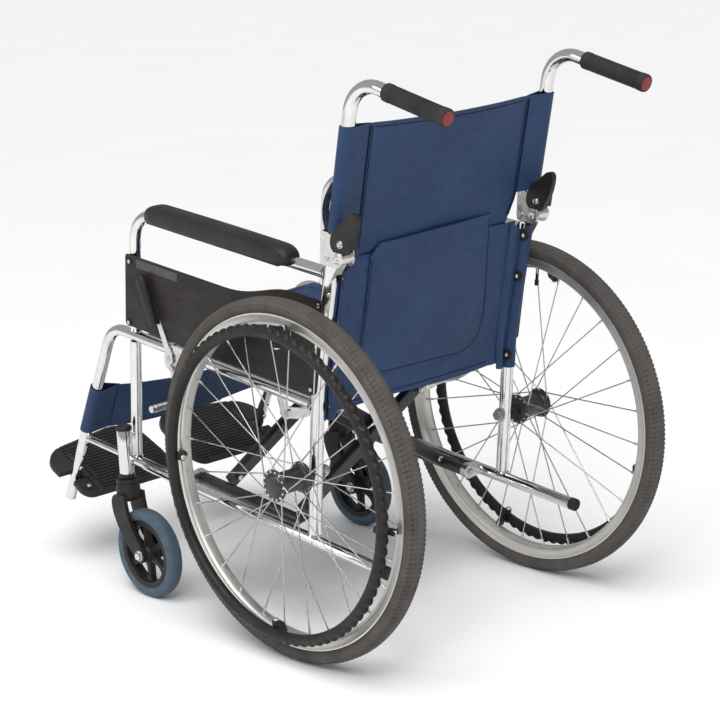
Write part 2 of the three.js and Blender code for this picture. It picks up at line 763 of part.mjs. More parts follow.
// One arm, ends stopping just short of the tubes. The half that carries the
// crossing bolt reaches through its partner, which is drilled for it.
function braceArm(side, u) {
  const run = 2 * PIVOT_X;
  const rise = SEAT_TUBE_V - PIVOT_V;
  const length = Math.hypot(run, rise) - 2 * (BRACE_R + GAP);
  const middle = (SEAT_TUBE_V + PIVOT_V) / 2;
  const bar = new THREE.BoxGeometry(length, ARM_WIDTH, ARM_THICK)
    .rotateY(side * Math.atan2(rise, run))
    .translate(0, u, middle);
  const across = (from, to, radius, sides) => rod([0, from, middle], [0, to, middle], radius, sides);
  if (side < 0) {
    return cut(bar, across(u - ARM_WIDTH, u + ARM_WIDTH, CROSS_BOLT_R + 0.5, 12));
  }
  const back = u + ARM_WIDTH / 2;
  const front = back - ARM_WIDTH - ARM_PITCH - GAP;
  return join(
    bar,
    across(front - 2, back, CROSS_BOLT_R, 12),
    across(front - 4, front, 9, 6),
    across(back - 1, back + 4, 9, 6),
  );
}

function addBraceHalf(side, label) {
  const shift = side > 0 ? 0 : -ARM_PITCH;
  const tube = (x, span, v) => rod([x, span[0], v], [x, span[1], v], BRACE_R, 14);
  add(chassis, `${label}_lower_tube`, tube(side * PIVOT_X, PIVOT_TUBE_U, PIVOT_V), BLACK_STEEL);
  add(chassis, `${label}_front_arm`, braceArm(side, FRONT_ARM_U + shift), BLACK_STEEL);
  add(chassis, `${label}_rear_arm`, braceArm(side, REAR_ARM_U + shift), BLACK_STEEL);
  add(chassis, `${label}_seat_tube`, tube(-side * PIVOT_X, SEAT_TUBE_U, SEAT_TUBE_V), BLACK_STEEL);
}

// Strap from the side frame to the arm, swept in a shallow S.
function link(u) {
  const [x0, v0] = LINK_PIVOT;
  const [x1, v1] = LINK_END;
  const length = Math.hypot(x1 - x0, v1 - v0);
  const normal = [-(v1 - v0) / length, (x1 - x0) / length];
  const edge = (share, offset) => {
    const sway = 4 * Math.sin(2 * Math.PI * share) + offset;
    return [x0 + (x1 - x0) * share + normal[0] * sway, v0 + (v1 - v0) * share + normal[1] * sway];
  };
  const outline = [];
  for (let i = 0; i <= 8; i += 1) outline.push(edge(i / 8, LINK_WIDTH / 2));
  for (let i = 8; i >= 0; i -= 1) outline.push(edge(i / 8, -LINK_WIDTH / 2));
  const front = u - LINK_THICK / 2;
  const rear = u + LINK_THICK / 2;
  const eye = ([x, v]) => rod([x, front, v], [x, rear, v], LINK_WIDTH / 2, 14);
  const strap = join(
    crossPlate(polygon(outline), front, rear),
    eye(LINK_PIVOT),
    eye(LINK_END),
    rod([x1, rear - 1, v1], [x1, rear + 3.5, v1], 7, 6),
  );
  return cut(strap, rod([x0, front - 2, v0], [x0, rear + 2, v0], 4.6, 12));
}

// ---------------------------------------------------------------------------
// Sling seat, back and calf strap, drawn as plain thin slabs between the tubes
// ---------------------------------------------------------------------------

function slingSeat() {
  const half = PIVOT_X - BRACE_R - GAP;
  return box([-half, half], SEAT_TUBE_U, [SEAT_TUBE_V + 6, SEAT_TUBE_V + 11]);
}

function lowerBack() {
  const [low, high] = [85, 331];
  const outline = polygon([
    [4, low], [8, low], [8, POST_BEND_V], [postLean(high) + 8, high], [postLean(high) + 4, high], [4, POST_BEND_V],
  ]);
  return sidePlate(outline, -198, 198);
}

function upperBack() {
  const lean = (CANE_CORNER[0] - CANE_FOOT[0]) / (CANE_CORNER[1] - CANE_FOOT[1]);
  const at = (v) => CANE_FOOT[0] + (v - CANE_FOOT[1]) * lean;
  const low = CANE_FOOT[1] + 36;
  const outline = polygon([
    [at(low) - 2, low], [at(low) + 2, low], [at(BACK_TOP_V) + 2, BACK_TOP_V], [at(BACK_TOP_V) - 2, BACK_TOP_V],
  ]);
  return sidePlate(outline, -197.5, 197.5);
}

function calfStrap() {
  const shape = polygon([[-198.5, -6], [198.5, -6], [198.5, -2], [-198.5, -2]]);
  return footLayer(shape, 128, 88);
}

// ---------------------------------------------------------------------------
// Assembly
// ---------------------------------------------------------------------------

addPair(chassis, 'lower_rail', lowerRail(), CHROME);
add(chassis, 'seat_rail_left', seatRail(LINK_LEFT_U), CHROME);
add(chassis, 'seat_rail_right', mirrored(seatRail(LINK_RIGHT_U)), CHROME);
addPair(chassis, 'arm_tube', armTube(), CHROME);
addPair(chassis, 'rear_post', rearPost(), CHROME);
addPair(chassis, 'side_panel', sidePanel(), PANEL);
addPair(chassis, 'arm_pad', armPad(), VINYL_BLACK);
addPair(ground, 'caster_housing', casterHousing(), CHROME);
addPair(ground, 'caster_fork', casterFork(), BLACK_PLASTIC);
addPair(ground, 'caster_wheel', casterWheel(), BLACK_PLASTIC);
addPair(ground, 'caster_tyre', casterTyre(), CASTER_GREY);
addWheel(1, 'left');
addWheel(-1, 'right');
addPair(chassis, 'back_cane', backCane(), CHROME);
addPair(chassis, 'grip', grip(), BLACK_PLASTIC);
addPair(chassis, 'hinge_channel', hingeChannel(), CHROME);
addPair(chassis, 'hinge_lever', hingeLever(), BLACK_PLASTIC);
addPair(chassis, 'brake_plate', brakePlate(), CHROME);
addPair(chassis, 'brake_lever', brakeLever(), BLACK_PLASTIC);
addPair(chassis, 'brake_shoe', brakeShoe(), CHROME);
addPair(chassis, 'foot_bracket', footBracket(), BLACK_PLASTIC);
addPair(chassis, 'footplate', footplate(), BLACK_PLASTIC);
addBraceHalf(1, 'xa');
addBraceHalf(-1, 'xb');
add(chassis, 'link_left', link(LINK_LEFT_U), CHROME);
add(chassis, 'link_right', mirrored(link(LINK_RIGHT_U)), CHROME);
add(chassis, 'seat_sling', slingSeat(), VINYL_BLUE);
add(chassis, 'back_lower', lowerBack(), VINYL_BLUE);
add(chassis, 'back_upper', upperBack(), VINYL_BLUE);
add(chassis, 'calf_strap', calfStrap(), VINYL_BLUE);

export default model;
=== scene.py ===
"""Looks for the folding wheelchair: smooth tubes, wheels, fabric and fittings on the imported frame."""

import json
import math

import bmesh
import bpy
import numpy as np
from mathutils import Matrix, Vector

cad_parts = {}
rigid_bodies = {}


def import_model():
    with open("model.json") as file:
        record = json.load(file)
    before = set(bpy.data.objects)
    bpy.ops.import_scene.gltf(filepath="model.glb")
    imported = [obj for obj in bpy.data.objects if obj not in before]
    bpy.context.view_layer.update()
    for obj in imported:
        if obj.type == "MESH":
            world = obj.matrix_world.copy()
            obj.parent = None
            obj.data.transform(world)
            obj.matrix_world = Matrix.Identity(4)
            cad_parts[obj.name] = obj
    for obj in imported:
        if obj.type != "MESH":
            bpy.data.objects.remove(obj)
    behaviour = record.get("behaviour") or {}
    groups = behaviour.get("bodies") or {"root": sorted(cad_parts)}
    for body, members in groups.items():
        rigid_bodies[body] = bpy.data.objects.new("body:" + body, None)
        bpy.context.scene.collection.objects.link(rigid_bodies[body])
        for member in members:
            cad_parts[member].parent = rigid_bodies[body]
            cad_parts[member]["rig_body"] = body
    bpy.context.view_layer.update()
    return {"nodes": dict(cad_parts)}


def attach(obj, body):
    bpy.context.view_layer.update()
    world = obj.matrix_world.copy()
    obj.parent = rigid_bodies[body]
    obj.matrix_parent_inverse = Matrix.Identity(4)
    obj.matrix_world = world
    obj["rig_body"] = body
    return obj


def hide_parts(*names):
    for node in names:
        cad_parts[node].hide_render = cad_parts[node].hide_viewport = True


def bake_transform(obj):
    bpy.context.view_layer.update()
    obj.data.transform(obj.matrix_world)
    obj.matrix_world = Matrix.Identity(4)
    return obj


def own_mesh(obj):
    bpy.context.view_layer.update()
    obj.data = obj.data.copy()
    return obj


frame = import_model()

# ---------------------------------------------------------------------------
# Dimensions, in millimetres. The chassis is drawn square to its rails: u runs
# back along them, v runs up, and u = v = 0 on the rear axle. The left side is
# drawn, and the right side is its mirror image.
# ---------------------------------------------------------------------------

AXLE_Y = 204.1
WHEEL_R = 282.0
SLOPE = math.radians(6)
FRAME_X = 210.0
WHEEL_X = 267.0
RAIL_R = 9.5
POST_R = 10.5
RAIL_V = -112.0
SEAT_RAIL_V = 108.0
ARM_V = 318.0
FRONT_POST_U = -443.0
LEG_CORNER = (-507.0, 108.0)
LEG_LEAN = math.radians(20)
HINGE = (46.0, 346.0)
LEVER_PIVOT = (48.0, 367.0)
CANE_FOOT = (27.0, 350.0)
CANE_CORNER = (59.5, 613.8)
GRIP_START = (125.5, 604.4)
GRIP_END = (248.0, 587.1)
LINK_PIVOT = (196.0, 70.0)
LINK_END = (78.3, 53.3)
LEG_LENGTH = 366.0
POST_BEND_V = 131.0           # the rear posts lean back above this height
PIVOT_X, PIVOT_V = 178.0, -108.0
SEAT_TUBE_V = 116.0
STEM_Y, CASTER_AXLE_Y, CASTER_R, CASTER_X = -441.0, -394.0, 75.0, 240.0
SEAM = 167.0                  # the back's side seams, from the centre line

COS, SIN = math.cos(SLOPE), math.sin(SLOPE)


def chassis(points):
    """Chassis (x, u, v) in millimetres to the row frame in metres."""
    p = np.asarray(points, float).reshape(-1, 3)
    y = AXLE_Y + p[:, 1] * COS + p[:, 2] * SIN
    z = WHEEL_R + p[:, 2] * COS - p[:, 1] * SIN
    return np.stack([p[:, 0], y, z], 1) / 1000


def ground(points):
    """Upright (x, y from the rear axle, z) in millimetres to the row frame."""
    p = np.asarray(points, float).reshape(-1, 3)
    return np.stack([p[:, 0], AXLE_Y + p[:, 1], p[:, 2]], 1) / 1000


def cane_u(v):
    """How far back the cane's axis is at v."""
    slope = (CANE_CORNER[0] - CANE_FOOT[0]) / (CANE_CORNER[1] - CANE_FOOT[1])
    return CANE_FOOT[0] + (v - CANE_FOOT[1]) * slope


def post_u(v):
    """How far back the rear post's axis is at v."""
    return max(0.0, cane_u(v))


def leg(distance, forward=0.0):
    """(u, v) at a distance down the leg and forward of its axis."""
    s, c = math.sin(LEG_LEAN), math.cos(LEG_LEAN)
    u = LEG_CORNER[0] - s * distance - c * forward
    v = LEG_CORNER[1] - c * distance + s * forward
    return u, v


# ---------------------------------------------------------------------------
# Mesh building
# ---------------------------------------------------------------------------


class Body:
    """Vertices, faces and UVs in millimetres, gathered before they become one mesh."""

    def __init__(self, place=chassis):
        self.verts, self.faces, self.uvs, self.mats = [], [], [], []
        self.place = place

    def add(self, verts, faces, uvs=None, mat=0):
        base = len(self.verts)
        self.verts.extend([tuple(map(float, v)) for v in verts])
        for i, face in enumerate(faces):
            self.faces.append(tuple(base + k for k in face))
            self.uvs.append(uvs[i] if uvs is not None else None)
            self.mats.append(mat)
        return self

    def mirrored(self):
        other = Body(self.place)
        other.verts = [(-x, y, z) for x, y, z in self.verts]
        other.faces = [tuple(reversed(f)) for f in self.faces]
        other.uvs = [None if u is None else list(reversed(u)) for u in self.uvs]
        other.mats = list(self.mats)
        return other

    def build(self, name, materials, smooth=35.0, bevel=0.0, subdivide=0):
        mesh = bpy.data.meshes.new(name)
        placed = self.place(self.verts)
        mesh.from_pydata([tuple(v) for v in placed], [], self.faces)
        layer = mesh.uv_layers.new(name="flat")
        loops = []
        for face, uv in zip(self.faces, self.uvs):
            if uv is None:
                pts = [placed[k] for k in face]
                uv = [(p[0] + 0.37 * p[1], p[2] + 0.21 * p[1]) for p in pts]
            loops.extend(uv)
        layer.data.foreach_set("uv", np.asarray(loops, np.float32).ravel())
        mesh.polygons.foreach_set("material_index", np.asarray(self.mats, np.int32))
        for m in materials if isinstance(materials, (list, tuple)) else [materials]:
            mesh.materials.append(m)
        mesh.polygons.foreach_set("use_smooth", [True] * len(mesh.polygons))
        mesh.update()
        shape = bmesh.new()
        shape.from_mesh(mesh)
        bmesh.ops.recalc_face_normals(shape, faces=shape.faces)
        shape.to_mesh(mesh)
        shape.free()
        if smooth < 180:
            mesh.set_sharp_from_angle(angle=math.radians(smooth))
        obj = bpy.data.objects.new(name, mesh)
        bpy.context.scene.collection.objects.link(obj)
        if bevel:
            mod = obj.modifiers.new("edges", "BEVEL")
            mod.width = bevel / 1000
            mod.segments = 2
            mod.limit_method = "ANGLE"
            mod.angle_limit = math.radians(38)
            mod.harden_normals = True
        if subdivide:
            mod = obj.modifiers.new("smooth", "SUBSURF")
            mod.levels = subdivide
            mod.render_levels = subdivide
        return obj


def unit(v):
    v = np.asarray(v, float)
    return v / max(np.linalg.norm(v), 1e-12)


def bent(corners, radius, steps=10, straight=0.0):
    """Points along straight runs joined by arcs; straight > 0 also divides the runs."""
    pts = [np.asarray(c, float) for c in corners]
    out = [pts[0]]
    for i in range(1, len(pts) - 1):
        into, away = unit(pts[i] - pts[i - 1]), unit(pts[i + 1] - pts[i])
        angle = math.acos(max(-1, min(1, float(into @ away))))
        side = unit(away - into * (away @ into))
        start = pts[i] - into * radius * math.tan(angle / 2)
        centre = start + side * radius
        for k in range(steps + 1):
            a = angle * k / steps
            out.append(centre - side * radius * math.cos(a) + into * radius * math.sin(a))
    out.append(pts[-1])
    if straight:
        dense = [out[0]]
        for a, b in zip(out, out[1:]):
            n = max(1, int(round(np.linalg.norm(b - a) / straight)))
            dense.extend(a + (b - a) * k / n for k in range(1, n + 1))
        out = dense
    return np.array(out)


def sweep(body, path, section, mat=0, caps=True, up=(1.0, 0.0, 0.0), loop=False):
    """Carries a closed section along a path. section is [(a, b)] in the path's side and
    up directions, or a function of (index, share) that returns it."""
    path = np.asarray(path, float)
    n = len(path)
    if loop:
        tangents = np.array([unit(path[(i + 1) % n] - path[i - 1]) for i in range(n)])
    else:
        tangents = np.array([unit(path[min(i + 1, n - 1)] - path[max(i - 1, 0)]) for i in range(n)])
    travelled = np.concatenate([[0], np.cumsum(np.linalg.norm(np.diff(path, axis=0), axis=1))])
    verts = []
    for i in range(n):
        side = unit(np.cross(np.cross(tangents[i], up), tangents[i]))
        top = np.cross(tangents[i], side)
        ring = section(i, travelled[i] / max(travelled[-1], 1e-9)) if callable(section) else section
        verts.extend(path[i] + side * a + top * b for a, b in ring)
        count = len(ring)
    lengths = np.linalg.norm(np.diff(np.array(ring + [ring[0]]), axis=0), axis=1)
    around = np.concatenate([[0], np.cumsum(lengths)]) / 1000
    faces, uvs = [], []
    for i in range(n if loop else n - 1):
        j = (i + 1) % n
        u0 = travelled[i] / 1000
        u1 = (travelled[i] + np.linalg.norm(path[j] - path[i])) / 1000
        for k in range(count):
            m = (k + 1) % count
            faces.append((i * count + k, i * count + m, j * count + m, j * count + k))
            uvs.append([(u0, around[k]), (u0, around[k + 1]), (u1, around[k + 1]), (u1, around[k])])
    body.add(verts, faces, uvs, mat)
    if caps and not loop:
        first = list(range(count))[::-1]
        last = [(n - 1) * count + k for k in range(count)]
        base = len(body.verts) - len(verts)
        for cap in (first, last):
            body.faces.append(tuple(base + k for k in cap))
            body.uvs.append(None)
            body.mats.append(mat)
    return body


def circle(radius, sides=24, turn=0.0):
    return [(radius * math.cos(2 * math.pi * k / sides + turn),
             radius * math.sin(2 * math.pi * k / sides + turn)) for k in range(sides)]


def rod(body, a, b, radius, sides=20, mat=0, soft=0.0):
    """A round bar with slightly eased ends."""
    a, b = np.asarray(a, float), np.asarray(b, float)
    d = unit(b - a)
    up = (1.0, 0.0, 0.0) if abs(d[0]) < 0.9 else (0.0, 1.0, 0.0)
    if not soft:
        return sweep(body, [a, b], circle(radius, sides), mat, up=up)
    length = np.linalg.norm(b - a)
    stops = [0, soft * 0.3, soft, length - soft, length - soft * 0.3, length]
    scale = [radius - soft, radius - soft * 0.3, radius, radius, radius - soft * 0.3, radius - soft]
    return sweep(body, [a + d * s for s in stops], lambda i, _: circle(scale[i], sides), mat, up=up)


def bolt_head(body, at, axis, radius, height, mat=0, hexagon=False, washer=0.0, washer_mat=None):
    """A pan head, or a hexagon, standing at a point and facing along an axis."""
    at, axis = np.asarray(at, float), unit(axis)
    up = (1.0, 0.0, 0.0) if abs(axis[0]) < 0.9 else (0.0, 1.0, 0.0)
    if washer:
        rod(body, at, at + axis * 1.2, washer, 20, mat if washer_mat is None else washer_mat, soft=0.3)
        at = at + axis * 1.2
    sides = 6 if hexagon else 16
    stops = [(0, 1), (0.55, 1), (0.85, 0.86), (1, 0.6)] if not hexagon else [(0, 1), (0.8, 1), (1, 0.86)]
    sweep(body, [at + axis * height * s for s, _ in stops],
          lambda i, _: circle(radius * stops[i][1], sides), mat, up=up)


def turned(body, profile, centre, axis=(1.0, 0.0, 0.0), segments=64, mat=0, closed=True, spread=None):
    """Revolves [(along, radius)] about an axis through centre."""
    axis = unit(axis)
    ref = np.array([0.0, 0.0, 1.0]) if abs(axis[2]) < 0.9 else np.array([0.0, 1.0, 0.0])
    side = unit(ref - axis * (ref @ axis))
    other = np.cross(axis, side)
    centre = np.asarray(centre, float)
    count = len(profile)
    verts = []
    for i in range(segments):
        a = 2 * math.pi * i / segments
        around = side * math.cos(a) + other * math.sin(a)
        for k, (along, r) in enumerate(profile):
            extra = spread(a, k) if spread else 0.0
            verts.append(centre + axis * along + around * (r + extra))
    lengths = [0.0]
    for (a0, r0), (a1, r1) in zip(profile, profile[1:] + profile[:1]):
        lengths.append(lengths[-1] + math.hypot(a1 - a0, r1 - r0) / 1000)
    mean = max(r for _, r in profile) / 1000
    faces, uvs = [], []
    for i in range(segments):
        j = (i + 1) % segments
        u0, u1 = (mean * 2 * math.pi * s / segments for s in (i, i + 1))
        for k in range(count if closed else count - 1):
            m = (k + 1) % count
            faces.append((i * count + k, j * count + k, j * count + m, i * count + m))
            uvs.append([(u0, lengths[k]), (u1, lengths[k]), (u1, lengths[k + 1]), (u0, lengths[k + 1])])
    body.add(verts, faces, uvs, mat)
    return body


def prism(body, outline, low, high, axes="uv", mat=0):
    """An outline drawn in (u, v) and spread over x, or in (x, v) and spread over u."""
    area = sum(x0 * y1 - x1 * y0 for (x0, y0), (x1, y1) in zip(outline, outline[1:] + outline[:1]))
    ring = list(outline) if area > 0 else list(outline)[::-1]
    if axes == "xv":
        ring = ring[::-1]
    n = len(ring)
    put = (lambda a, b, d: (d, a, b)) if axes == "uv" else (lambda a, b, d: (a, d, b))
    verts = [put(a, b, low) for a, b in ring] + [put(a, b, high) for a, b in ring]
    faces = [tuple(range(n))[::-1], tuple(range(n, 2 * n))]
    faces += [(k, (k + 1) % n, n + (k + 1) % n, n + k) for k in range(n)]
    return body.add(verts, faces, None, mat)


def arc(centre, radius, start, stop, steps=8):
    return [(centre[0] + radius * math.cos(math.radians(start + (stop - start) * k / steps)),
             centre[1] + radius * math.sin(math.radians(start + (stop - start) * k / steps)))
            for k in range(steps + 1)]


def bezier(p0, p1, p2, p3, steps=10):
    pts = []
    for k in range(steps + 1):
        t = k / steps
        w = ((1 - t) ** 3, 3 * t * (1 - t) ** 2, 3 * t * t * (1 - t), t ** 3)
        pts.append(tuple(sum(wi * p[i] for wi, p in zip(w, (p0, p1, p2, p3))) for i in range(2)))
    return pts


def rounded(outline, radius, steps=4):
    """Rounds every corner of a polygon."""
    out, n = [], len(outline)
    for i in range(n):
        p, a, b = (np.array(outline[k % n], float) for k in (i, i - 1, i + 1))
        r = min(radius, 0.45 * np.linalg.norm(a - p), 0.45 * np.linalg.norm(b - p))
        start, end = p + unit(a - p) * r, p + unit(b - p) * r
        for k in range(steps + 1):
            t = k / steps
            out.append(tuple((1 - t) ** 2 * start + 2 * t * (1 - t) * p + t * t * end))
    return out


def cloth(body, surface, across, along, thick=1.6, mat=0, thickness=None):
    """A thin closed sheet over a grid. surface(s, t) gives its middle in millimetres."""
    s = np.linspace(0, 1, across + 1)
    t = np.linspace(0, 1, along + 1)
    grid = np.array([[surface(a, b) for a in s] for b in t], float)
    ds = np.gradient(grid, axis=1)
    dt = np.gradient(grid, axis=0)
    normal = np.cross(ds, dt)
    normal /= np.maximum(np.linalg.norm(normal, axis=2, keepdims=True), 1e-9)
    half = np.full((along + 1, across + 1, 1), thick / 2)
    if thickness is not None:
        half = np.array([[[thickness(a, b) / 2] for a in s] for b in t])
    verts = np.concatenate([(grid + normal * half).reshape(-1, 3), (grid - normal * half).reshape(-1, 3)])
    width = np.concatenate([[0], np.cumsum(np.linalg.norm(np.diff(grid[along // 2], axis=0), axis=1))]) / 1000
    height = np.concatenate([[0], np.cumsum(np.linalg.norm(np.diff(grid[:, across // 2], axis=0), axis=1))]) / 1000
    n, m = across + 1, along + 1
    total = n * m
    faces, uvs = [], []

    def uv(i, j):
        return (width[i], height[j])

    for j in range(along):
        for i in range(across):
            a, b, c, d = j * n + i, j * n + i + 1, (j + 1) * n + i + 1, (j + 1) * n + i
            faces.append((a, b, c, d))
            uvs.append([uv(i, j), uv(i + 1, j), uv(i + 1, j + 1), uv(i, j + 1)])
            faces.append((total + d, total + c, total + b, total + a))
            uvs.append([uv(i, j + 1), uv(i + 1, j + 1), uv(i + 1, j), uv(i, j)])
    edge = [(i, 0) for i in range(across)] + [(across, j) for j in range(along)]
    edge += [(i, along) for i in range(across, 0, -1)] + [(0, j) for j in range(along, 0, -1)]
    for (i0, j0), (i1, j1) in zip(edge, edge[1:] + edge[:1]):
        a, b = j0 * n + i0, j1 * n + i1
        faces.append((b, a, total + a, total + b))
        uvs.append([uv(i1, j1), uv(i0, j0), uv(i0, j0), uv(i1, j1)])
    body.add(verts, faces, uvs, mat)
    return body


def stitches(body, line, normal, step=4.4, length=3.2, radius=0.62, mat=0):
    """A row of raised thread stitches along a line of points."""
    line = np.asarray(line, float)
    normal = np.asarray(normal, float)
    gaps = np.linalg.norm(np.diff(line, axis=0), axis=1)
    run = np.concatenate([[0], np.cumsum(gaps)])
    here = 0.0
    while here + length < run[-1]:
        ends = [np.array([np.interp(d, run, line[:, k]) for k in range(3)])
                for d in (here, here + length / 2, here + length)]
        path = [ends[0] - normal * 0.3, ends[1] + normal * 0.35, ends[2] - normal * 0.3]
        sweep(body, path, circle(radius, 5), mat, up=tuple(normal))
        here += step
    return body


# ---------------------------------------------------------------------------
# Materials, all from nodes
# ---------------------------------------------------------------------------


class Look:
    """A Principled material and a few helpers to wire its texture nodes."""

    def __init__(self, name, rough, metal=0.0, **sockets):
        self.mat = bpy.data.materials.new(name)
        self.mat.use_nodes = True
        self.tree = self.mat.node_tree
        self.shader = self.tree.nodes["Principled BSDF"]
        self.shader.inputs["Metallic"].default_value = metal
        self.shader.inputs["Roughness"].default_value = rough
        for key, value in sockets.items():
            self.shader.inputs[key.replace("_", " ")].default_value = value

    def node(self, kind, **values):
        node = self.tree.nodes.new(kind)
        for key, value in values.items():
            if hasattr(node, key):
                setattr(node, key, value)
            else:
                node.inputs[key.replace("_", " ")].default_value = value
        return node

    def link(self, a, b):
        self.tree.links.new(a, b)

    def coords(self, kind, scale=(1, 1, 1), rotate=(0, 0, 0)):
        mapping = self.node("ShaderNodeMapping")
        mapping.inputs["Scale"].default_value = scale
        mapping.inputs["Rotation"].default_value = rotate
        self.link(self.node("ShaderNodeTexCoord").outputs[kind], mapping.inputs["Vector"])
        return mapping.outputs["Vector"]

    def noise(self, scale, detail=3.0, kind="Object", stretch=(1, 1, 1)):
        node = self.node("ShaderNodeTexNoise", Scale=scale, Detail=detail)
        self.link(self.coords(kind, stretch), node.inputs["Vector"])
        return node.outputs["Fac"]

    def ramp(self, source, stops):
        node = self.node("ShaderNodeValToRGB")
        elements = node.color_ramp.elements
        while len(elements) < len(stops):
            elements.new(0.5)
        for element, (at, colour) in zip(elements, stops):
            element.position = at
            element.color = (*colour, 1) if len(colour) == 3 else colour
        self.link(source, node.inputs["Fac"])
        return node.outputs["Color"]

    def span(self, source, low, high, from_low=0.3, from_high=0.7):
        node = self.node("ShaderNodeMapRange")
        for key, value in (("From Min", from_low), ("From Max", from_high),
                           ("To Min", low), ("To Max", high)):
            node.inputs[key].default_value = value
        self.link(source, node.inputs["Value"])
        return node.outputs["Result"]

    def math(self, operation, a, b):
        node = self.node("ShaderNodeMath", operation=operation)
        for socket, value in zip(node.inputs, (a, b)):
            if isinstance(value, (int, float)):
                socket.default_value = value
            else:
                self.link(value, socket)
        return node.outputs["Value"]

    def colour(self, source):
        self.link(source, self.shader.inputs["Base Color"])

    def roughness(self, source):
        self.link(source, self.shader.inputs["Roughness"])

    def bump(self, source, depth, after=None):
        node = self.node("ShaderNodeBump", Strength=1.0, Distance=depth)
        self.link(source, node.inputs["Height"])
        if after is not None:
            self.link(after, node.inputs["Normal"])
        self.link(node.outputs["Normal"], self.shader.inputs["Normal"])
        return node.outputs["Normal"]


def chrome_look():
    look = Look("chrome_tube", 0.09, 1.0)
    haze = look.noise(34, 5)
    look.colour(look.ramp(haze, [(0.3, (0.66, 0.66, 0.655)), (0.7, (0.76, 0.755, 0.745))]))
    look.roughness(look.span(look.noise(55, 6), 0.05, 0.14))
    look.bump(look.noise(14, 2), 0.00006)
    return look.mat


def zinc_look():
    look = Look("zinc_fitting", 0.3, 1.0)
    look.colour(look.ramp(look.noise(90, 4), [(0.3, (0.56, 0.555, 0.54)), (0.7, (0.7, 0.695, 0.68))]))
    look.roughness(look.span(look.noise(120, 5), 0.2, 0.4))
    look.bump(look.noise(300, 2), 0.00004)
    return look.mat


def alloy_look():
    look = Look("alloy_rim", 0.45, 1.0)
    brushed = look.noise(90, 4, "UV", (0.06, 8, 1))
    look.colour(look.ramp(brushed, [(0.3, (0.66, 0.645, 0.615)), (0.7, (0.78, 0.765, 0.735))]))
    look.roughness(look.span(look.noise(40, 4), 0.4, 0.54))
    look.bump(brushed, 0.00003)
    return look.mat


def black_steel_look():
    look = Look("black_steel", 0.42, 0.0, Coat_Weight=0.25, Coat_Roughness=0.25)
    look.colour(look.ramp(look.noise(30, 5), [(0.3, (0.012, 0.011, 0.011)), (0.75, (0.026, 0.024, 0.023))]))
    look.roughness(look.span(look.noise(60, 5), 0.34, 0.52))
    look.bump(look.noise(700, 2), 0.00005)
    return look.mat


def moulded_look(name, dark, light, rough=(0.42, 0.6), grain=900, depth=0.00008):
    look = Look(name, 0.5, Specular_IOR_Level=0.3)
    look.colour(look.ramp(look.noise(25, 5), [(0.3, dark), (0.75, light)]))
    look.roughness(look.span(look.noise(45, 4), *rough))
    look.bump(look.noise(grain, 3), depth)
    return look.mat


def panel_look():
    look = Look("panel_plastic", 0.55, Specular_IOR_Level=0.28)
    cells = look.node("ShaderNodeTexVoronoi", Scale=520.0)
    look.link(look.coords("Object"), cells.inputs["Vector"])
    scuffs = look.noise(9, 6, "Object", (1, 1, 6))
    look.colour(look.ramp(scuffs, [(0.32, (0.013, 0.0105, 0.0095)), (0.72, (0.028, 0.0235, 0.021))]))
    look.roughness(look.span(look.noise(30, 5), 0.44, 0.62))
    look.bump(cells.outputs["Distance"], 0.00022)
    return look.mat


def vinyl_pad_look():
    look = Look("arm_vinyl", 0.5, Specular_IOR_Level=0.35)
    cells = look.node("ShaderNodeTexVoronoi", Scale=900.0, feature="DISTANCE_TO_EDGE")
    look.link(look.coords("Object"), cells.inputs["Vector"])
    look.colour(look.ramp(look.noise(14, 5), [(0.3, (0.010, 0.008, 0.0075)), (0.75, (0.022, 0.018, 0.017))]))
    look.roughness(look.span(look.noise(40, 4), 0.4, 0.58))
    first = look.bump(look.noise(120, 3), 0.0003)
    look.bump(cells.outputs["Distance"], 0.00018, first)
    return look.mat


def sling_look():
    """Coated blue cloth: a fine basket weave under a soft vinyl face, with creases."""
    look = Look("sling_vinyl", 0.5, Specular_IOR_Level=0.3)
    uv = look.coords("UV")
    weave = []
    for angle in (0.0, math.pi / 2):
        wave = look.node("ShaderNodeTexWave", Scale=330.0, Distortion=0.6, Detail=1.0)
        wave.inputs["Detail Scale"].default_value = 1.0
        look.link(look.coords("UV", rotate=(0, 0, angle)), wave.inputs["Vector"])
        weave.append(wave.outputs["Fac"])
    threads = look.math("MULTIPLY", weave[0], weave[1])
    blotch = look.node("ShaderNodeTexNoise", Scale=7.0, Detail=6.0)
    look.link(uv, blotch.inputs["Vector"])
    look.colour(look.ramp(blotch.outputs["Fac"], [(0.3, (0.0105, 0.033, 0.092)), (0.52, (0.014, 0.041, 0.112)),
                                                  (0.75, (0.019, 0.052, 0.134))]))
    look.roughness(look.span(look.noise(60, 4, "UV"), 0.4, 0.56))
    creases = look.node("ShaderNodeTexNoise", Scale=5.0, Detail=5.0, Distortion=0.5)
    look.link(look.coords("UV", (1, 2.6, 1)), creases.inputs["Vector"])
    first = look.bump(creases.outputs["Fac"], 0.008)
    pebble = look.bump(look.noise(900, 2, "UV"), 0.00012, first)
    look.bump(threads, 0.00016, pebble)
    return look.mat


def tyre_look():
    look = Look("tyre_rubber", 0.8)
    dust = look.noise(24, 6)
    look.colour(look.ramp(dust, [(0.3, (0.054, 0.048, 0.044)), (0.75, (0.092, 0.083, 0.077))]))
    look.roughness(look.span(look.noise(50, 4), 0.7, 0.88))
    look.bump(look.noise(800, 3), 0.0001)
    return look.mat


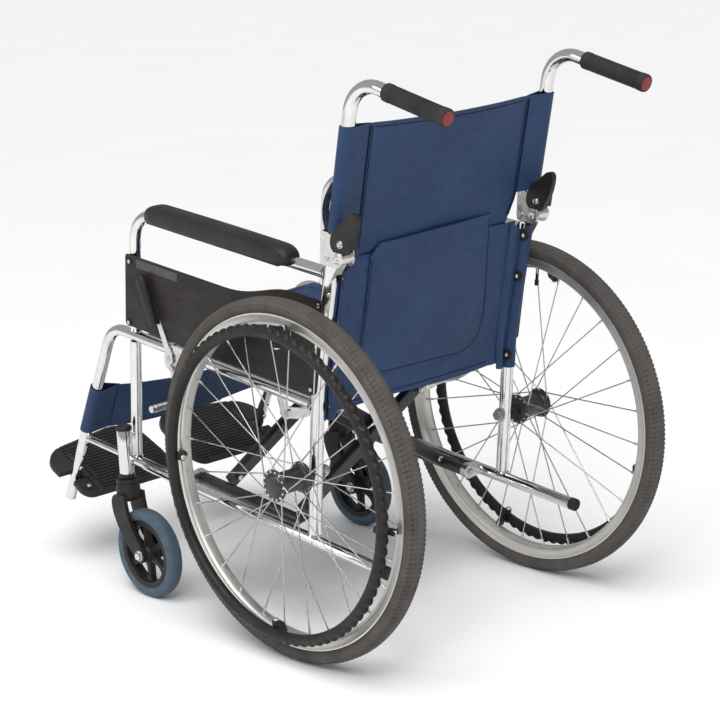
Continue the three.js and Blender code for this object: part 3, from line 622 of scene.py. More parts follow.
def plain_look(name, colour, rough, metal=0.0, spread=0.12, scale=60, depth=0.00005, **sockets):
    look = Look(name, rough, metal, **sockets)
    low = tuple(c * (1 - spread) for c in colour)
    high = tuple(min(1, c * (1 + spread)) for c in colour)
    look.colour(look.ramp(look.noise(scale, 4), [(0.3, low), (0.7, high)]))
    look.roughness(look.span(look.noise(scale * 1.7, 4), rough * 0.85, min(1, rough * 1.15)))
    look.bump(look.noise(scale * 9, 2), depth)
    return look.mat


CHROME = chrome_look()
ZINC = zinc_look()
ALLOY = alloy_look()
STEEL = black_steel_look()
MOULDED = moulded_look("black_plastic", (0.010, 0.0085, 0.008), (0.022, 0.019, 0.018))
FOOT = moulded_look("foot_plastic", (0.012, 0.011, 0.0105), (0.026, 0.024, 0.023), (0.45, 0.65))
GRIP_RUBBER = moulded_look("grip_rubber", (0.018, 0.017, 0.0165), (0.034, 0.032, 0.031), (0.55, 0.72))
PANEL = panel_look()
PAD = vinyl_pad_look()
SLING = sling_look()
TYRE = tyre_look()
CASTER_RUBBER = plain_look("caster_rubber", (0.062, 0.095, 0.128), 0.6, spread=0.16, Specular_IOR_Level=0.3)
SPOKE = plain_look("spoke_steel", (0.5, 0.5, 0.49), 0.25, 1.0)
# Dark navy thread; the same colour also paints the shadow cords along the upper back's side seams.
THREAD_AND_SEAM_SHADE = plain_look("thread", (0.004, 0.009, 0.022), 0.8, Specular_IOR_Level=0.1)
RED_CAP = plain_look("red_cap", (0.22, 0.012, 0.012), 0.4)
WASHER = plain_look("black_washer", (0.006, 0.0055, 0.0055), 0.5, Specular_IOR_Level=0.25)
LABEL = plain_look("blank_plate", (0.075, 0.07, 0.066), 0.32, 0.5)

# ---------------------------------------------------------------------------
# Placing pieces
# ---------------------------------------------------------------------------

BODY_OF = {n: o["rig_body"] for n, o in frame["nodes"].items()}


def piece(body, name, materials, rides, slot, stands_for=(), **build):
    obj = body.build(name, materials, **build)
    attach(obj, rides)
    if stands_for:
        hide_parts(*stands_for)
    return obj


def pair(body, name, materials, rides, slot, stands_for=(), **build):
    """The drawn left-hand piece and its mirror image; names take _left and _right."""
    made = []
    for side, shape in (("left", body), ("right", body.mirrored())):
        made.append(piece(shape, f"{name}_{side}", materials, f"{rides}_{side}", slot,
                          [f"{n}_{side}" for n in stands_for], **build))
    return made

# ---------------------------------------------------------------------------
# Camera first, then the floor and lights
# ---------------------------------------------------------------------------

AZ, EL, ROLL = (math.radians(a) for a in (137.247, 13.990, -2.692))
back = Vector((math.sin(AZ) * math.cos(EL), -math.cos(AZ) * math.cos(EL), math.sin(EL)))
level = Vector((math.cos(AZ), math.sin(AZ), 0))
above = level.cross(-back)
right = math.cos(ROLL) * level + math.sin(ROLL) * above
upward = -math.sin(ROLL) * level + math.cos(ROLL) * above
cam_data = bpy.data.cameras.new("camera")
cam_data.lens = 106.882
cam_data.sensor_width = 36
cam_data.clip_end = 60
camera = bpy.data.objects.new("camera", cam_data)
view = Matrix((right, upward, back)).transposed().to_4x4()
view.translation = Vector((2.26276, 2.32961 + AXLE_Y / 1000, 1.22782))
camera.matrix_world = view
bpy.context.scene.collection.objects.link(camera)
bpy.context.scene.camera = camera

# ---------------------------------------------------------------------------
# Side frame tubes
# ---------------------------------------------------------------------------


def end_plug(body, at, axis, radius, mat, length=5.0):
    """A moulded cap pressed on a tube's end."""
    at, axis = np.asarray(at, float), unit(axis)
    stops = [(-length, 0.7), (0, 0.7), (1.4, 0.35), (2.0, -2.2)]
    sweep(body, [at + axis * a for a, _ in stops],
          lambda i, _: circle(radius + stops[i][1], 24), mat, up=(1.0, 0.0, 0.0))


def lower_rail():
    b = Body()
    x = FRAME_X
    rod(b, (x, -452, RAIL_V), (x, 162, RAIL_V), RAIL_R, 28, soft=0.8)
    end_plug(b, (x, 162, RAIL_V), (0, 1, 0), RAIL_R, 1, 9)
    end_plug(b, (x, -452, RAIL_V), (0, -1, 0), RAIL_R, 1, 4)
    strut_end = LEG_CORNER[0] - 220 * math.tan(LEG_LEAN) + RAIL_R / math.cos(LEG_LEAN) + 0.3
    rod(b, (x, strut_end, RAIL_V), (x, -446, RAIL_V), 6.0, 20)
    rod(b, (x, FRONT_POST_U, RAIL_V), (x, FRONT_POST_U, 98.3), RAIL_R, 28)
    weld(b, (x, FRONT_POST_U, RAIL_V + RAIL_R + 0.6), (0, 0, 1), RAIL_R)
    for u in (-317.4, -54.6):
        eye = [(PIVOT_X + 12.4 * math.cos(a), PIVOT_V + 12.4 * math.sin(a))
               for a in np.linspace(math.pi * 0.42, math.pi * 1.58, 16)]
        strap = eye + [(205, PIVOT_V - 9), (205, PIVOT_V + 7)]
        prism(b, strap, u, u + 12, "xv", 2)
        bolt_head(b, (PIVOT_X, u + 12, PIVOT_V), (0, 1, 0), 5.5, 3.5, 3, hexagon=True)
        bolt_head(b, (PIVOT_X, u, PIVOT_V), (0, -1, 0), 5.5, 3.5, 3, hexagon=True)
    return b


def weld(body, at, axis, radius, mat=0):
    """The thin fillet where one tube meets another."""
    at, axis = np.asarray(at, float), unit(axis)
    stops = [(-1.6, 2.0), (0.0, 1.3), (1.2, 0.5), (2.4, 0.05)]
    up = (1.0, 0.0, 0.0) if abs(axis[0]) < 0.9 else (0.0, 1.0, 0.0)
    sweep(body, [at + axis * a for a, _ in stops],
          lambda i, _: circle(radius + stops[i][1], 28), mat, caps=False, up=up)


def seat_rail(link_u):
    b = Body()
    x = FRAME_X
    end = leg(LEG_LENGTH)
    path = bent([(x, -POST_R - 0.1, SEAT_RAIL_V), (x, *LEG_CORNER), (x, *end)], 50, 14)
    sweep(b, path, circle(RAIL_R, 28))
    weld(b, (x, -POST_R - 0.6, SEAT_RAIL_V), (0, -1, 0), RAIL_R)
    tip = leg(LEG_LENGTH + 1.2)
    rod(b, (x, *leg(LEG_LENGTH - 6)), (x, *tip), RAIL_R - 1.4, 24, 2, soft=0.6)
    for distance in (218, 244, 270):
        rod(b, (x, *leg(distance, -RAIL_R - 0.15)), (x, *leg(distance, RAIL_R + 0.15)), 2.7, 16, 1)
    bolt_head(b, (x, *leg(296, -RAIL_R + 0.4)), np.array([0.0, *leg(0, -1)]) - np.array([0.0, *leg(0, 0)]),
              4.0, 3.0, 3)
    lx, lv = LINK_PIVOT
    rear = link_u + 2.9
    hanger = rounded([(lx - 8, lv - 10), (lx + 8, lv - 10), (x + 7, 104), (x - 8, 104)], 6)
    prism(b, hanger, rear, rear + 4, "xv", 2)
    bolt_head(b, (lx, rear + 4, lv), (0, 1, 0), 6, 4, 3, hexagon=True)
    rod(b, (lx, link_u - 5, lv), (lx, rear + 2, lv), 4, 14, 3)
    bolt_head(b, (lx, link_u - 2.8, lv), (0, -1, 0), 6.8, 3, 3)
    return b


def arm_tube():
    b = Body()
    x = FRAME_X
    rear_end = post_u(ARM_V) - POST_R - 0.1
    path = bent([(x, rear_end, ARM_V), (x, FRONT_POST_U, ARM_V), (x, FRONT_POST_U, 117.7)], 48, 14)
    sweep(b, path, circle(RAIL_R, 28))
    weld(b, (x, FRONT_POST_U, 119.2), (0, 0, 1), RAIL_R)
    weld(b, (x, rear_end - 0.5, ARM_V), (0, -1, 0), RAIL_R)
    return b


def rear_post():
    b = Body()
    x = FRAME_X
    path = bent([(x, 0, -102.2), (x, 0, POST_BEND_V), (x, post_u(330), 330)], 120, 10)
    sweep(b, path, circle(POST_R, 30))
    weld(b, (x, 0, -101.4), (0, 0, 1), POST_R)
    rod(b, (194, 0, 0), (286, 0, 0), 6, 20, 3)
    rod(b, (220, 0, 0), (238.5, 0, 0), 9, 24, 1, soft=0.6)
    bolt_head(b, (198.6, 0, 0), (-1, 0, 0), 9.6, 8.6, 3, hexagon=True, washer=11.5)
    u, v = HINGE
    tongue = [(16, 304), (27, 303), (u, v - 8)] + arc((u, v), 8, -90, 135, 12) + [(u - 9, v - 4), (18, 328)]
    prism(b, tongue, x - 8.9, x + 8.9, "uv", 0)
    for sign in (-1, 1):
        bolt_head(b, (x + sign * 8.9, u, v), (sign, 0, 0), 5.2, 2.0, 3)
    bolt_head(b, (x + 7.2, post_u(288) + 7.4, 288), (0.7, 0.7, 0), 3.6, 1.6, 3)
    return b


RAIL_MATS = [CHROME, MOULDED, ZINC, SPOKE]
pair(lower_rail(), "lower_rail_tube", RAIL_MATS, "side", "chrome_tube", ["lower_rail"], smooth=40)
for label, link_u in (("left", -89.0), ("right", -65.9)):
    rail = seat_rail(link_u)
    piece(rail if label == "left" else rail.mirrored(), f"seat_rail_tube_{label}", RAIL_MATS,
          f"side_{label}", "chrome_tube", [f"seat_rail_{label}"], smooth=40)
pair(arm_tube(), "arm_rest_tube", RAIL_MATS, "side", "chrome_tube", ["arm_tube"], smooth=40)
pair(rear_post(), "rear_post_tube", RAIL_MATS, "side", "chrome_tube", ["rear_post"], smooth=40)

# ---------------------------------------------------------------------------
# Side panels, brake plates and arm pads
# ---------------------------------------------------------------------------


def side_panel():
    front, rear, low, step, high = -453.0, 20.0, 127.0, 248.0, 278.0
    edge = arc((rear - 19, low + 8), 8, -90, 0, 5)
    edge += arc((rear - 10, high - 10), 10, 0, 90, 5)
    edge += bezier((-40, high), (-100, high), (-130, step), (-205, step), 16)
    edge += arc((front + 6, step - 6), 6, 90, 180, 5)
    edge += arc((front + 6, low + 6), 6, 180, 270, 5)
    b = Body()
    prism(b, edge, 221.0, 223.5)
    return b


def panel_fittings():
    b = Body()
    for u, v in ((-441, 237), (-443, 133), (12, 270), (-1, 136)):
        bolt_head(b, (223.5, u, v), (1, 0, 0), 3.6, 1.8, 0, washer=6.2, washer_mat=1)
        prism(b, rounded([(u - 5, v - 6), (u + 5, v - 6), (u + 5, v + 6), (u - 5, v + 6)], 2), 216, 221.1, "uv", 1)
    plate = rounded([(-423, 230), (-318, 230), (-318, 244), (-423, 244)], 2.5)
    prism(b, plate, 223.4, 224.2, "uv", 2)
    return b


def brake_plate():
    b = Body()
    outline = rounded([(-352, 86), (-344, 77), (-313, 77), (-306, 86), (-306, 121), (-352, 121)], 3)
    prism(b, outline, 219.9, 223.1)
    for u, v in ((-345, 108), (-313, 108)):
        bolt_head(b, (223.1, u, v), (1, 0, 0), 3.4, 0.9, 1)
    rod(b, (219, -335, 98), (223.6, -335, 98), 5, 16, 1)
    rod(b, (219, -320, 88), (227.6, -320, 88), 4, 16, 1)
    for u in (-345, -313):
        clamp = [(x, v) for x, v in arc((FRAME_X, SEAT_RAIL_V), 11.3, -70, 250, 18)]
        clamp += [(x, v) for x, v in arc((FRAME_X, SEAT_RAIL_V), 9.7, 250, -70, 18)]
        prism(b, clamp, u - 5, u + 5, "xv", 0)
    return b


def arm_pad_ring(u, front, rear):
    """A pillowed section of the arm pad at u, drawn in towards its rounded ends."""
    inset = 0.0
    for end, reach in ((front, 26.0), (rear, 30.0)):
        d = abs(u - end)
        if d < reach:
            inset = max(inset, 1 - math.sqrt(max(0.0, 1 - (1 - d / reach) ** 2)))
    half = 22.0 - 12.0 * inset
    low = 313.4 + 2.5 * inset
    high = 342.6 - 17.0 * inset + 1.2 * math.sin(math.pi * (u - front) / (rear - front))
    middle = low + (high - low) * 0.42
    ring = []
    for k in range(44):
        a = 2 * math.pi * k / 44
        c, s = math.cos(a), math.sin(a)
        x = FRAME_X + 4.5 + half * math.copysign(abs(c) ** (0.7 if s > 0 else 0.3), c)
        v = middle + (high - middle if s > 0 else middle - low) * math.copysign(abs(s) ** (0.66 if s > 0 else 0.4), s)
        ring.append((x, u, v))
    return ring


def arm_pad():
    b = Body()
    front, rear = -397.0, -55.0
    stops = [front + 0.3, front + 1.4, front + 3.5, front + 7, front + 12, front + 18, front + 24]
    stops += list(np.linspace(front + 32, rear - 32, 24))
    stops += [rear - 25, rear - 19, rear - 13, rear - 8, rear - 4, rear - 1.6, rear - 0.3]
    rings = [arm_pad_ring(u, front, rear) for u in stops]
    verts = [p for ring in rings for p in ring]
    count = len(rings[0])
    faces = []
    for i in range(len(rings) - 1):
        for k in range(count):
            m = (k + 1) % count
            faces.append((i * count + k, (i + 1) * count + k, (i + 1) * count + m, i * count + m))
    faces.append(tuple(range(count)))
    faces.append(tuple((len(rings) - 1) * count + k for k in range(count))[::-1])
    b.add(verts, faces)
    return b


def arm_pad_base():
    """The board under the pad, and the screws that hold it to the arm tube."""
    b = Body()
    board = rounded([(-386, 312.4), (-70, 312.4), (-70, 316), (-386, 316)], 1.6)
    prism(b, board, 196.5, 199.6)
    prism(b, board, 220.4, 232.0)
    for u in (-330, -100):
        bolt_head(b, (FRAME_X, u, ARM_V - 9.2), (0, 0, -1), 3.6, 2.0, 1)
    return b


pair(side_panel(), "skirt_panel", PANEL, "side", "panel_plastic", ["side_panel"], bevel=0.7)
pair(panel_fittings(), "panel_fittings", [SPOKE, WASHER, LABEL], "side", "panel_plastic")
pair(brake_plate(), "brake_bracket", [ZINC, SPOKE], "side", "chrome_tube", ["brake_plate"], bevel=0.4)
for pad in pair(arm_pad(), "arm_cushion", PAD, "side", "arm_vinyl", ["arm_pad"], smooth=70):
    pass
pair(arm_pad_base(), "arm_board", [MOULDED, SPOKE], "side", "black_plastic")

# ---------------------------------------------------------------------------
# Rear wheels
# ---------------------------------------------------------------------------


def tyre_profile():
    """Bead, sidewall and crown of the tyre, as (along the axle, radius)."""
    return [(-12.0, 259.9), (-14.5, 261.0), (-16.6, 264.5), (-17.4, 268.5), (-16.9, 272.4), (-17.3, 273.4), (-16.0, 276.0),
            (-13.4, 278.3), (-12.6, 277.2), (-11.8, 279.2), (-8.4, 280.7), (-7.6, 280.0), (-6.8, 281.1),
            (-3.4, 281.9), (-2.8, 281.0), (2.8, 281.0), (3.4, 281.9), (6.8, 281.1), (7.6, 280.0),
            (8.4, 280.7), (11.8, 279.2), (12.6, 277.2), (13.4, 278.3), (16.0, 276.0), (17.3, 273.4), (16.9, 272.4),
            (17.4, 268.5), (16.6, 264.5), (14.5, 261.0), (12.0, 259.9)]


def tyre():
    b = Body()
    profile = tyre_profile()
    blocks = 230

    def sipe(angle, k):
        along, r = profile[k]
        if r < 273 or abs(along) < 3.1:
            return 0.0
        shift = 0.5 if along > 0 else 0.0
        phase = (angle * blocks / (2 * math.pi) + shift + abs(along) * 0.03) % 1.0
        return (-1.9 if r < 279.5 else -1.3) if phase < 0.45 else 0.0

    turned(b, profile, (WHEEL_X, 0, 0), segments=blocks * 4, spread=sipe)
    return b


def rim():
    b = Body()
    half = [(13.0, 259.4), (13.2, 257.4), (12.4, 256.4), (12.1, 249.0), (11.5, 245.0), (9.6, 241.9), (6.6, 240.7),
            (2.0, 240.3)]
    profile = [(-a, r) for a, r in half] + half[::-1]
    turned(b, profile[::-1], (WHEEL_X, 0, 0), segments=180)
    rod(b, (WHEEL_X + 4, 0, 241.5), (WHEEL_X + 4, 0, 217.0), 2.6, 12, 1)
    rod(b, (WHEEL_X + 4, 0, 217.5), (WHEEL_X + 4, 0, 208.0), 3.6, 12, 2, soft=0.6)
    return b


def hub():
    b = Body()
    profile = [(-30.0, 6.8), (-30.0, 12.0), (-28.9, 14.5), (-28.6, 24.0), (-27.0, 25.0), (-24.8, 24.2),
               (-23.2, 20.0), (-20.0, 17.2), (20.0, 17.2), (23.2, 20.0), (24.8, 24.2), (27.0, 25.0),
               (28.6, 24.0), (29.2, 18.2), (31.4, 17.2), (33.6, 14.0), (34.6, 9.0), (34.9, 0.4), (20.5, 0.4),
               (20.5, 6.8)]
    turned(b, profile, (WHEEL_X, 0, 0), segments=48)
    for flange in (-1, 1):
        for k in range(14):
            a = 2 * math.pi * (k + 0.25 * flange) / 14
            c = (WHEEL_X + flange * 26.7, 21.5 * math.cos(a), 21.5 * math.sin(a))
            rod(b, (c[0] - 2.7, c[1], c[2]), (c[0] + 2.7, c[1], c[2]), 1.8, 8, 1)
    return b


def spokes():
    b = Body()
    for i in range(28):
        flange = 1 if i % 2 else -1
        lean = 1 if i % 4 < 2 else -1
        outer = 2 * math.pi * i / 28
        inner = outer + lean * math.radians(52)
        root = (WHEEL_X + flange * (26.7 + 1.6 * lean), 22 * math.cos(inner), 22 * math.sin(inner))
        tip = (WHEEL_X + flange * 2.0, 239.6 * math.cos(outer), 239.6 * math.sin(outer))
        rod(b, root, tip, 1.05, 8)
        d = unit(np.array(tip) - np.array(root))
        rod(b, np.array(tip) - d * 11, np.array(tip) + d * 0.4, 1.9, 8, 1)
    return b


def push_rim():
    """Moulded push rim: smooth inside, with finger waves round its outer edge."""
    b = Body()
    waves = 84
    section = [(8.9 * math.cos(t), 8.2 * math.sin(t)) for t in np.linspace(0, 2 * math.pi, 24, endpoint=False)]
    profile = [(33 + a, 236.0 + r) for a, r in section]

    def wave(angle, k):
        out = max(0.0, (profile[k][1] - 236.0) / 8.2)
        return out ** 0.8 * (4.6 * abs(math.sin(angle * waves / 2)) ** 1.3 - 1.6)

    turned(b, profile[::-1], (WHEEL_X, 0, 0), segments=waves * 8,
           spread=lambda a, k: wave(a, len(profile) - 1 - k))
    return b


def push_rim_brackets(angles):
    b = Body()
    for degrees in angles:
        a = math.radians(degrees)
        radial, round_ = np.array([0, math.cos(a), math.sin(a)]), np.array([0, -math.sin(a), math.cos(a)])

        def at(x, r, t):
            return np.array([x, 0, 0]) + radial * r + round_ * t

        arm = [at(WHEEL_X + 13.5, 247, 0), at(WHEEL_X + 15, 240, 0), at(WHEEL_X + 19, 231, 0),
               at(WHEEL_X + 25, 226, 0), at(WHEEL_X + 31, 227.5, 0)]
        half = [(-10, -2.2), (10, -2.2), (10, 2.2), (-10, 2.2)]
        sweep(b, arm, rounded(half, 1.6, 2), 0, up=tuple(np.cross(round_, (1, 0, 0))))
        boss = at(WHEEL_X + 27, 226, 0)
        rod(b, boss, boss - radial * 9, 6.0, 16, 0, soft=0.8)
        bolt_head(b, boss - radial * 9, -radial, 4.6, 3.0, 1)
        foot = at(WHEEL_X + 13.2, 244.5, 0)
        bolt_head(b, foot + np.array([2.2, 0, 0]), (1, 0, 0), 4.4, 2.4, 1)
    return b


pair(tyre(), "tread_tyre", TYRE, "rear_wheel", "tyre_rubber", ["tyre"], smooth=28)
pair(rim(), "wheel_rim", [ALLOY, MOULDED, MOULDED], "rear_wheel", "alloy_rim", ["rim"], smooth=40)
pair(hub(), "wheel_hub", [STEEL, ZINC], "rear_wheel", "black_steel", ["hub_spokes"], smooth=35)
pair(spokes(), "wheel_spokes", [SPOKE, ZINC], "rear_wheel", "alloy_rim", smooth=60)
pair(push_rim(), "push_rim", MOULDED, "rear_wheel", "black_plastic", ["handrim"], smooth=60)
for label, sign, angles in (("left", 1, (185, 90, 0, -88)), ("right", -1, (85, -14, -105, 175))):
    shape = push_rim_brackets(angles)
    piece(shape if sign > 0 else shape.mirrored(), f"push_rim_brackets_{label}", [MOULDED, ZINC],
          f"rear_wheel_{label}", "black_plastic", smooth=40)

# ---------------------------------------------------------------------------
# Casters
# ---------------------------------------------------------------------------


def caster_housing():
    b = Body(ground)
    profile = [(199.0, 8.8), (199.0, 11.8), (200.0, 12.5), (280.0, 12.5), (281.0, 12.0), (281.0, 8.8)]
    turned(b, profile, (CASTER_X, STEM_Y, 0), (0, 0, 1), 40)
    cap = [(279.0, 13.2), (284.0, 13.2), (286.4, 11.4), (287.0, 8.0), (287.0, 0.2), (279.0, 0.2)]
    turned(b, cap, (CASTER_X, STEM_Y, 0), (0, 0, 1), 32, 1)
    for x0, x1 in ((219.6, 228.6),):
        for low in (231.0,):
            shape = [(-449.0, low), (-440.0, low), (-440.0, low + 38), (-449.0, low + 38)]
            prism(b, rounded(shape, 2.5), x0 - 2.0, x1 + 1.0)
    collar = [(198.6, 9.2), (196.4, 13.4), (199.0, 13.9), (203.0, 13.9), (204.0, 12.4), (199.2, 12.2)]
    turned(b, collar, (CASTER_X, STEM_Y, 0.8), (0, 0, 1), 32, 1)
    return b


def caster_fork():
    b = Body(ground)
    crown = [(158.5, 0.2), (158.5, 13.0), (161.0, 17.4), (167.0, 20.0), (180.0, 20.2), (187.0, 19.4),
             (188.0, 18.0), (190.0, 18.0), (191.0, 19.0), (194.5, 19.0), (196.0, 17.6), (196.0, 0.2)]
    turned(b, crown, (CASTER_X, STEM_Y, 0), (0, 0, 1), 40)
    rod(b, (CASTER_X, STEM_Y, 195), (CASTER_X, STEM_Y, 272), 8, 20, 1)
    front = bezier((-440, 172), (-476, 174), (-462, 120), (-408.5, 72), 16)
    foot = arc((CASTER_AXLE_Y, CASTER_R), 13, 194, 388, 14)
    rear = bezier((-383, 84), (-410, 116), (-425, 138), (-426, 172), 12)
    for sign in (-1, 1):
        near, far = sorted((CASTER_X + sign * 15.2, CASTER_X + sign * 22.6))
        prism(b, front + foot[1:-1] + rear, near, far)
        hub_at = (CASTER_X + sign * 22.6, CASTER_AXLE_Y, CASTER_R)
        bolt_head(b, hub_at, (sign, 0, 0), 7.0, 4.0, 1, hexagon=True, washer=9.5)
    rod(b, (CASTER_X - 20, CASTER_AXLE_Y, CASTER_R), (CASTER_X + 20, CASTER_AXLE_Y, CASTER_R), 4, 14, 1)
    return b


def caster_wheel():
    """A moulded centre with six curved spokes between its hub and its rim."""
    b = Body(ground)
    c = (CASTER_X, CASTER_AXLE_Y, CASTER_R)
    turned(b, [(-14, 4.8), (-14, 11), (-12, 13.4), (-4, 15), (4, 15), (12, 13.4), (14, 11), (14, 4.8)], c,
           segments=40)
    turned(b, [(-10.6, 49.0), (-11, 57.2), (11, 57.2), (10.6, 49.0), (4.0, 47.0), (-4.0, 47.0)], c,
           segments=72)
    for k in range(6):
        a = math.radians(60 * k + 30)
        radial, round_ = np.array([0, math.cos(a), math.sin(a)]), np.array([0, -math.sin(a), math.cos(a)])
        path = [np.array(c) + radial * r + round_ * 2.2 * math.sin((r - 13) / 36 * math.pi)
                for r in np.linspace(13, 49, 9)]
        widths = [7.6, 6.4, 5.4, 4.8, 4.6, 4.8, 5.6, 7.2, 9.6]

        def section(i, _, widths=widths):
            w = widths[i]
            return rounded([(-6.0, -w), (6.0, -w), (6.0, w), (-6.0, w)], 2.2, 2)

        sweep(b, path, section, 0, up=(1.0, 0.0, 0.0))
    return b


def caster_tyre():
    b = Body(ground)
    profile = [(-10.5, 57.5), (-12.6, 59.5), (-13.1, 63.5), (-12.6, 68.5), (-10.4, 72.6), (-7.0, 74.5),
               (-2.5, 75.0), (2.5, 75.0), (7.0, 74.5), (10.4, 72.6), (12.6, 68.5), (13.1, 63.5),
               (12.6, 59.5), (10.5, 57.5)]
    turned(b, profile, (CASTER_X, CASTER_AXLE_Y, CASTER_R), segments=96)
    return b


pair(caster_housing(), "caster_barrel", [CHROME, MOULDED], "side", "chrome_tube", ["caster_housing"], smooth=40)
pair(caster_fork(), "caster_yoke", [MOULDED, ZINC], "caster_swivel", "black_plastic", ["caster_fork"],
     smooth=40, bevel=1.6)
pair(caster_wheel(), "caster_centre", MOULDED, "caster_wheel", "black_plastic", ["caster_wheel"], smooth=40)
pair(caster_tyre(), "caster_tread", CASTER_RUBBER, "caster_wheel", "caster_rubber", ["caster_tyre"], smooth=60)

# ---------------------------------------------------------------------------
# Back canes, grips, hinges and release levers
# ---------------------------------------------------------------------------


def along_grip(share):
    return tuple(a + (b - a) * share for a, b in zip(GRIP_START, GRIP_END))


def back_cane():
    b = Body()
    x = FRAME_X
    path = bent([(x, *CANE_FOOT), (x, *CANE_CORNER), (x, *along_grip(0.93))], 50, 16)
    sweep(b, path, circle(POST_R, 30))
    return b


GRIP_SLIM = 0.82


def grip():
    """Ribbed hand grip: a plain collar, rows of fine ribs and a rounded end."""
    b = Body()
    x = FRAME_X
    length = math.hypot(GRIP_END[0] - GRIP_START[0], GRIP_END[1] - GRIP_START[1])
    stops = [(0.0, 12.0), (0.4, 14.6), (2.0, 16.4), (9.0, 16.8), (10.2, 15.6)]
    at = 12.0
    while at < length - 19:
        stops += [(at, 15.3), (at + 0.8, 16.3), (at + 2.4, 16.3), (at + 3.2, 15.3)]
        at += 4.0
    stops += [(length - 14.0, 15.5), (length - 12.6, 16.8), (length - 4.0, 17.0), (length - 1.5, 16.2),
              (length - 0.9, 14.0), (length - 0.9, 11.0)]
    d = unit((0, GRIP_END[0] - GRIP_START[0], GRIP_END[1] - GRIP_START[1]))
    start = np.array([x, *GRIP_START])
    flutes = 24

    def section(i, _):
        along, r = stops[i]
        r *= GRIP_SLIM
        ribbed = 12 < along < length - 15
        ring = []
        for k in range(flutes * 2):
            a = 2 * math.pi * k / (flutes * 2)
            dip = 0.55 if ribbed and k % 2 else 0.0
            ring.append(((r - dip) * math.cos(a), (r - dip) * math.sin(a)))
        return ring

    sweep(b, [start + d * s for s, _ in stops], section)
    end = start + d * (length - 1.0)
    sweep(b, [end - d * 3, end, end + d * 0.7, end + d * 0.9],
          lambda i, _: circle((10.6, 10.6, 9.8, 7.0)[i], 28), 1, up=(1.0, 0.0, 0.0))
    sweep(b, [end, end + d * 1.1, end + d * 1.3], lambda i, _: circle((4.6, 4.6, 3.6)[i], 20), 1,
          up=(1.0, 0.0, 0.0))
    return b


def hinge_channel():
    """Folded sheet channel round the cane's foot, with the curved stay in front."""
    u, v = HINGE
    cheek = [(14, 384), (14.6, 340), (16, 335), (22, 333)]
    cheek += [(u, v - 12)] + arc((u, v), 12, -90, 18, 10) + [(54.5, 374), (43, 377), (28, 384)]
    wall = [(13, 352), (15.6, 352), (15.6, 384)] + bezier((15.6, 384), (2, 410), (8, 430), (25.5, 456), 18)[1:]
    wall += [(23.6, 457.8)] + bezier((23.6, 457.8), (5, 432), (-1, 408), (13, 383), 18)[1:]
    b = Body()
    for near, far in ((-13.4, -11.2), (11.2, 13.4)):
        prism(b, cheek, FRAME_X + near, FRAME_X + far)
    low_wall = [(13, 352), (15.6, 352), (15.6, 386), (13, 386)]
    prism(b, low_wall, FRAME_X - 11.6, FRAME_X + 11.6)
    prism(b, wall[2:], FRAME_X - 7.5, FRAME_X + 7.5)
    lu, lv = LEVER_PIVOT
    for sign in (-1, 1):
        bolt_head(b, (FRAME_X + sign * 13.4, u, v), (sign, 0, 0), 5.4, 2.2, 0)
        bolt_head(b, (FRAME_X + sign * 13.4, 27, 345), (sign, 0, 0), 3.4, 1.6, 1)
    rod(b, (FRAME_X - 13, lu, lv), (FRAME_X + 13, lu, lv), 2.5, 14, 1)
    rod(b, (FRAME_X - 11, u + 5, v + 3), (FRAME_X + 14, u + 5, v + 3), 9.5, 28, 0, soft=1.0)
    return b


def hinge_lever(at):
    """Release lever: a curved thumb blade with a broad foot outside the channel's cheeks."""
    outline = bezier((36, 364), (30, 378), (40, 390), (50, 400), 8)
    outline += bezier((50, 400), (60, 409), (68, 417), (75, 422), 8)[1:]
    outline += bezier((75, 422), (82, 425), (88, 422), (88, 414), 6)[1:]
    outline += bezier((88, 414), (87, 396), (80, 378), (70, 364), 8)[1:] + [(64, 359), (42, 358)]
    b = Body()
    prism(b, outline, at + 6.5, at + 15.2)
    prism(b, [(44, 362), (64, 362), (66, 380), (50, 382)], at - 12, at + 7)
    bolt_head(b, (at + 15.2, 56, 372), (1, 0, 0), 4.6, 2.6, 1, washer=6.4)
    return b


pair(back_cane(), "back_cane_tube", CHROME, "back", "chrome_tube", ["back_cane"], smooth=60)
pair(grip(), "hand_grip", [GRIP_RUBBER, RED_CAP], "back", "black_plastic", ["grip"], smooth=32)
pair(hinge_channel(), "hinge_bracket", [ZINC, SPOKE], "back", "chrome_tube", ["hinge_channel"],
     smooth=40, bevel=0.5)
for side, sign in (("left", 1), ("right", -1)):
    piece(hinge_lever(sign * FRAME_X), f"fold_release_{side}", [MOULDED, SPOKE], f"release_{side}", "black_plastic",
          [f"hinge_lever_{side}"], smooth=50, bevel=1.8)

# ---------------------------------------------------------------------------
# Brakes
# ---------------------------------------------------------------------------


def brake_lever():
    u, v = (-335.0, 98.0)
    strap = rounded([(u - 9, v - 3), (u - 5, v - 8), (u + 5, v - 8), (u + 9, v - 3), (u + 8, v + 6),
                     (u - 24, v + 60), (u - 34, v + 58), (u - 12, v + 14)], 4)
    b = Body()
    prism(b, strap, 224.2, 227.2)
    bolt_head(b, (227.2, u, v), (1, 0, 0), 5.2, 0.7, 1)
    return b


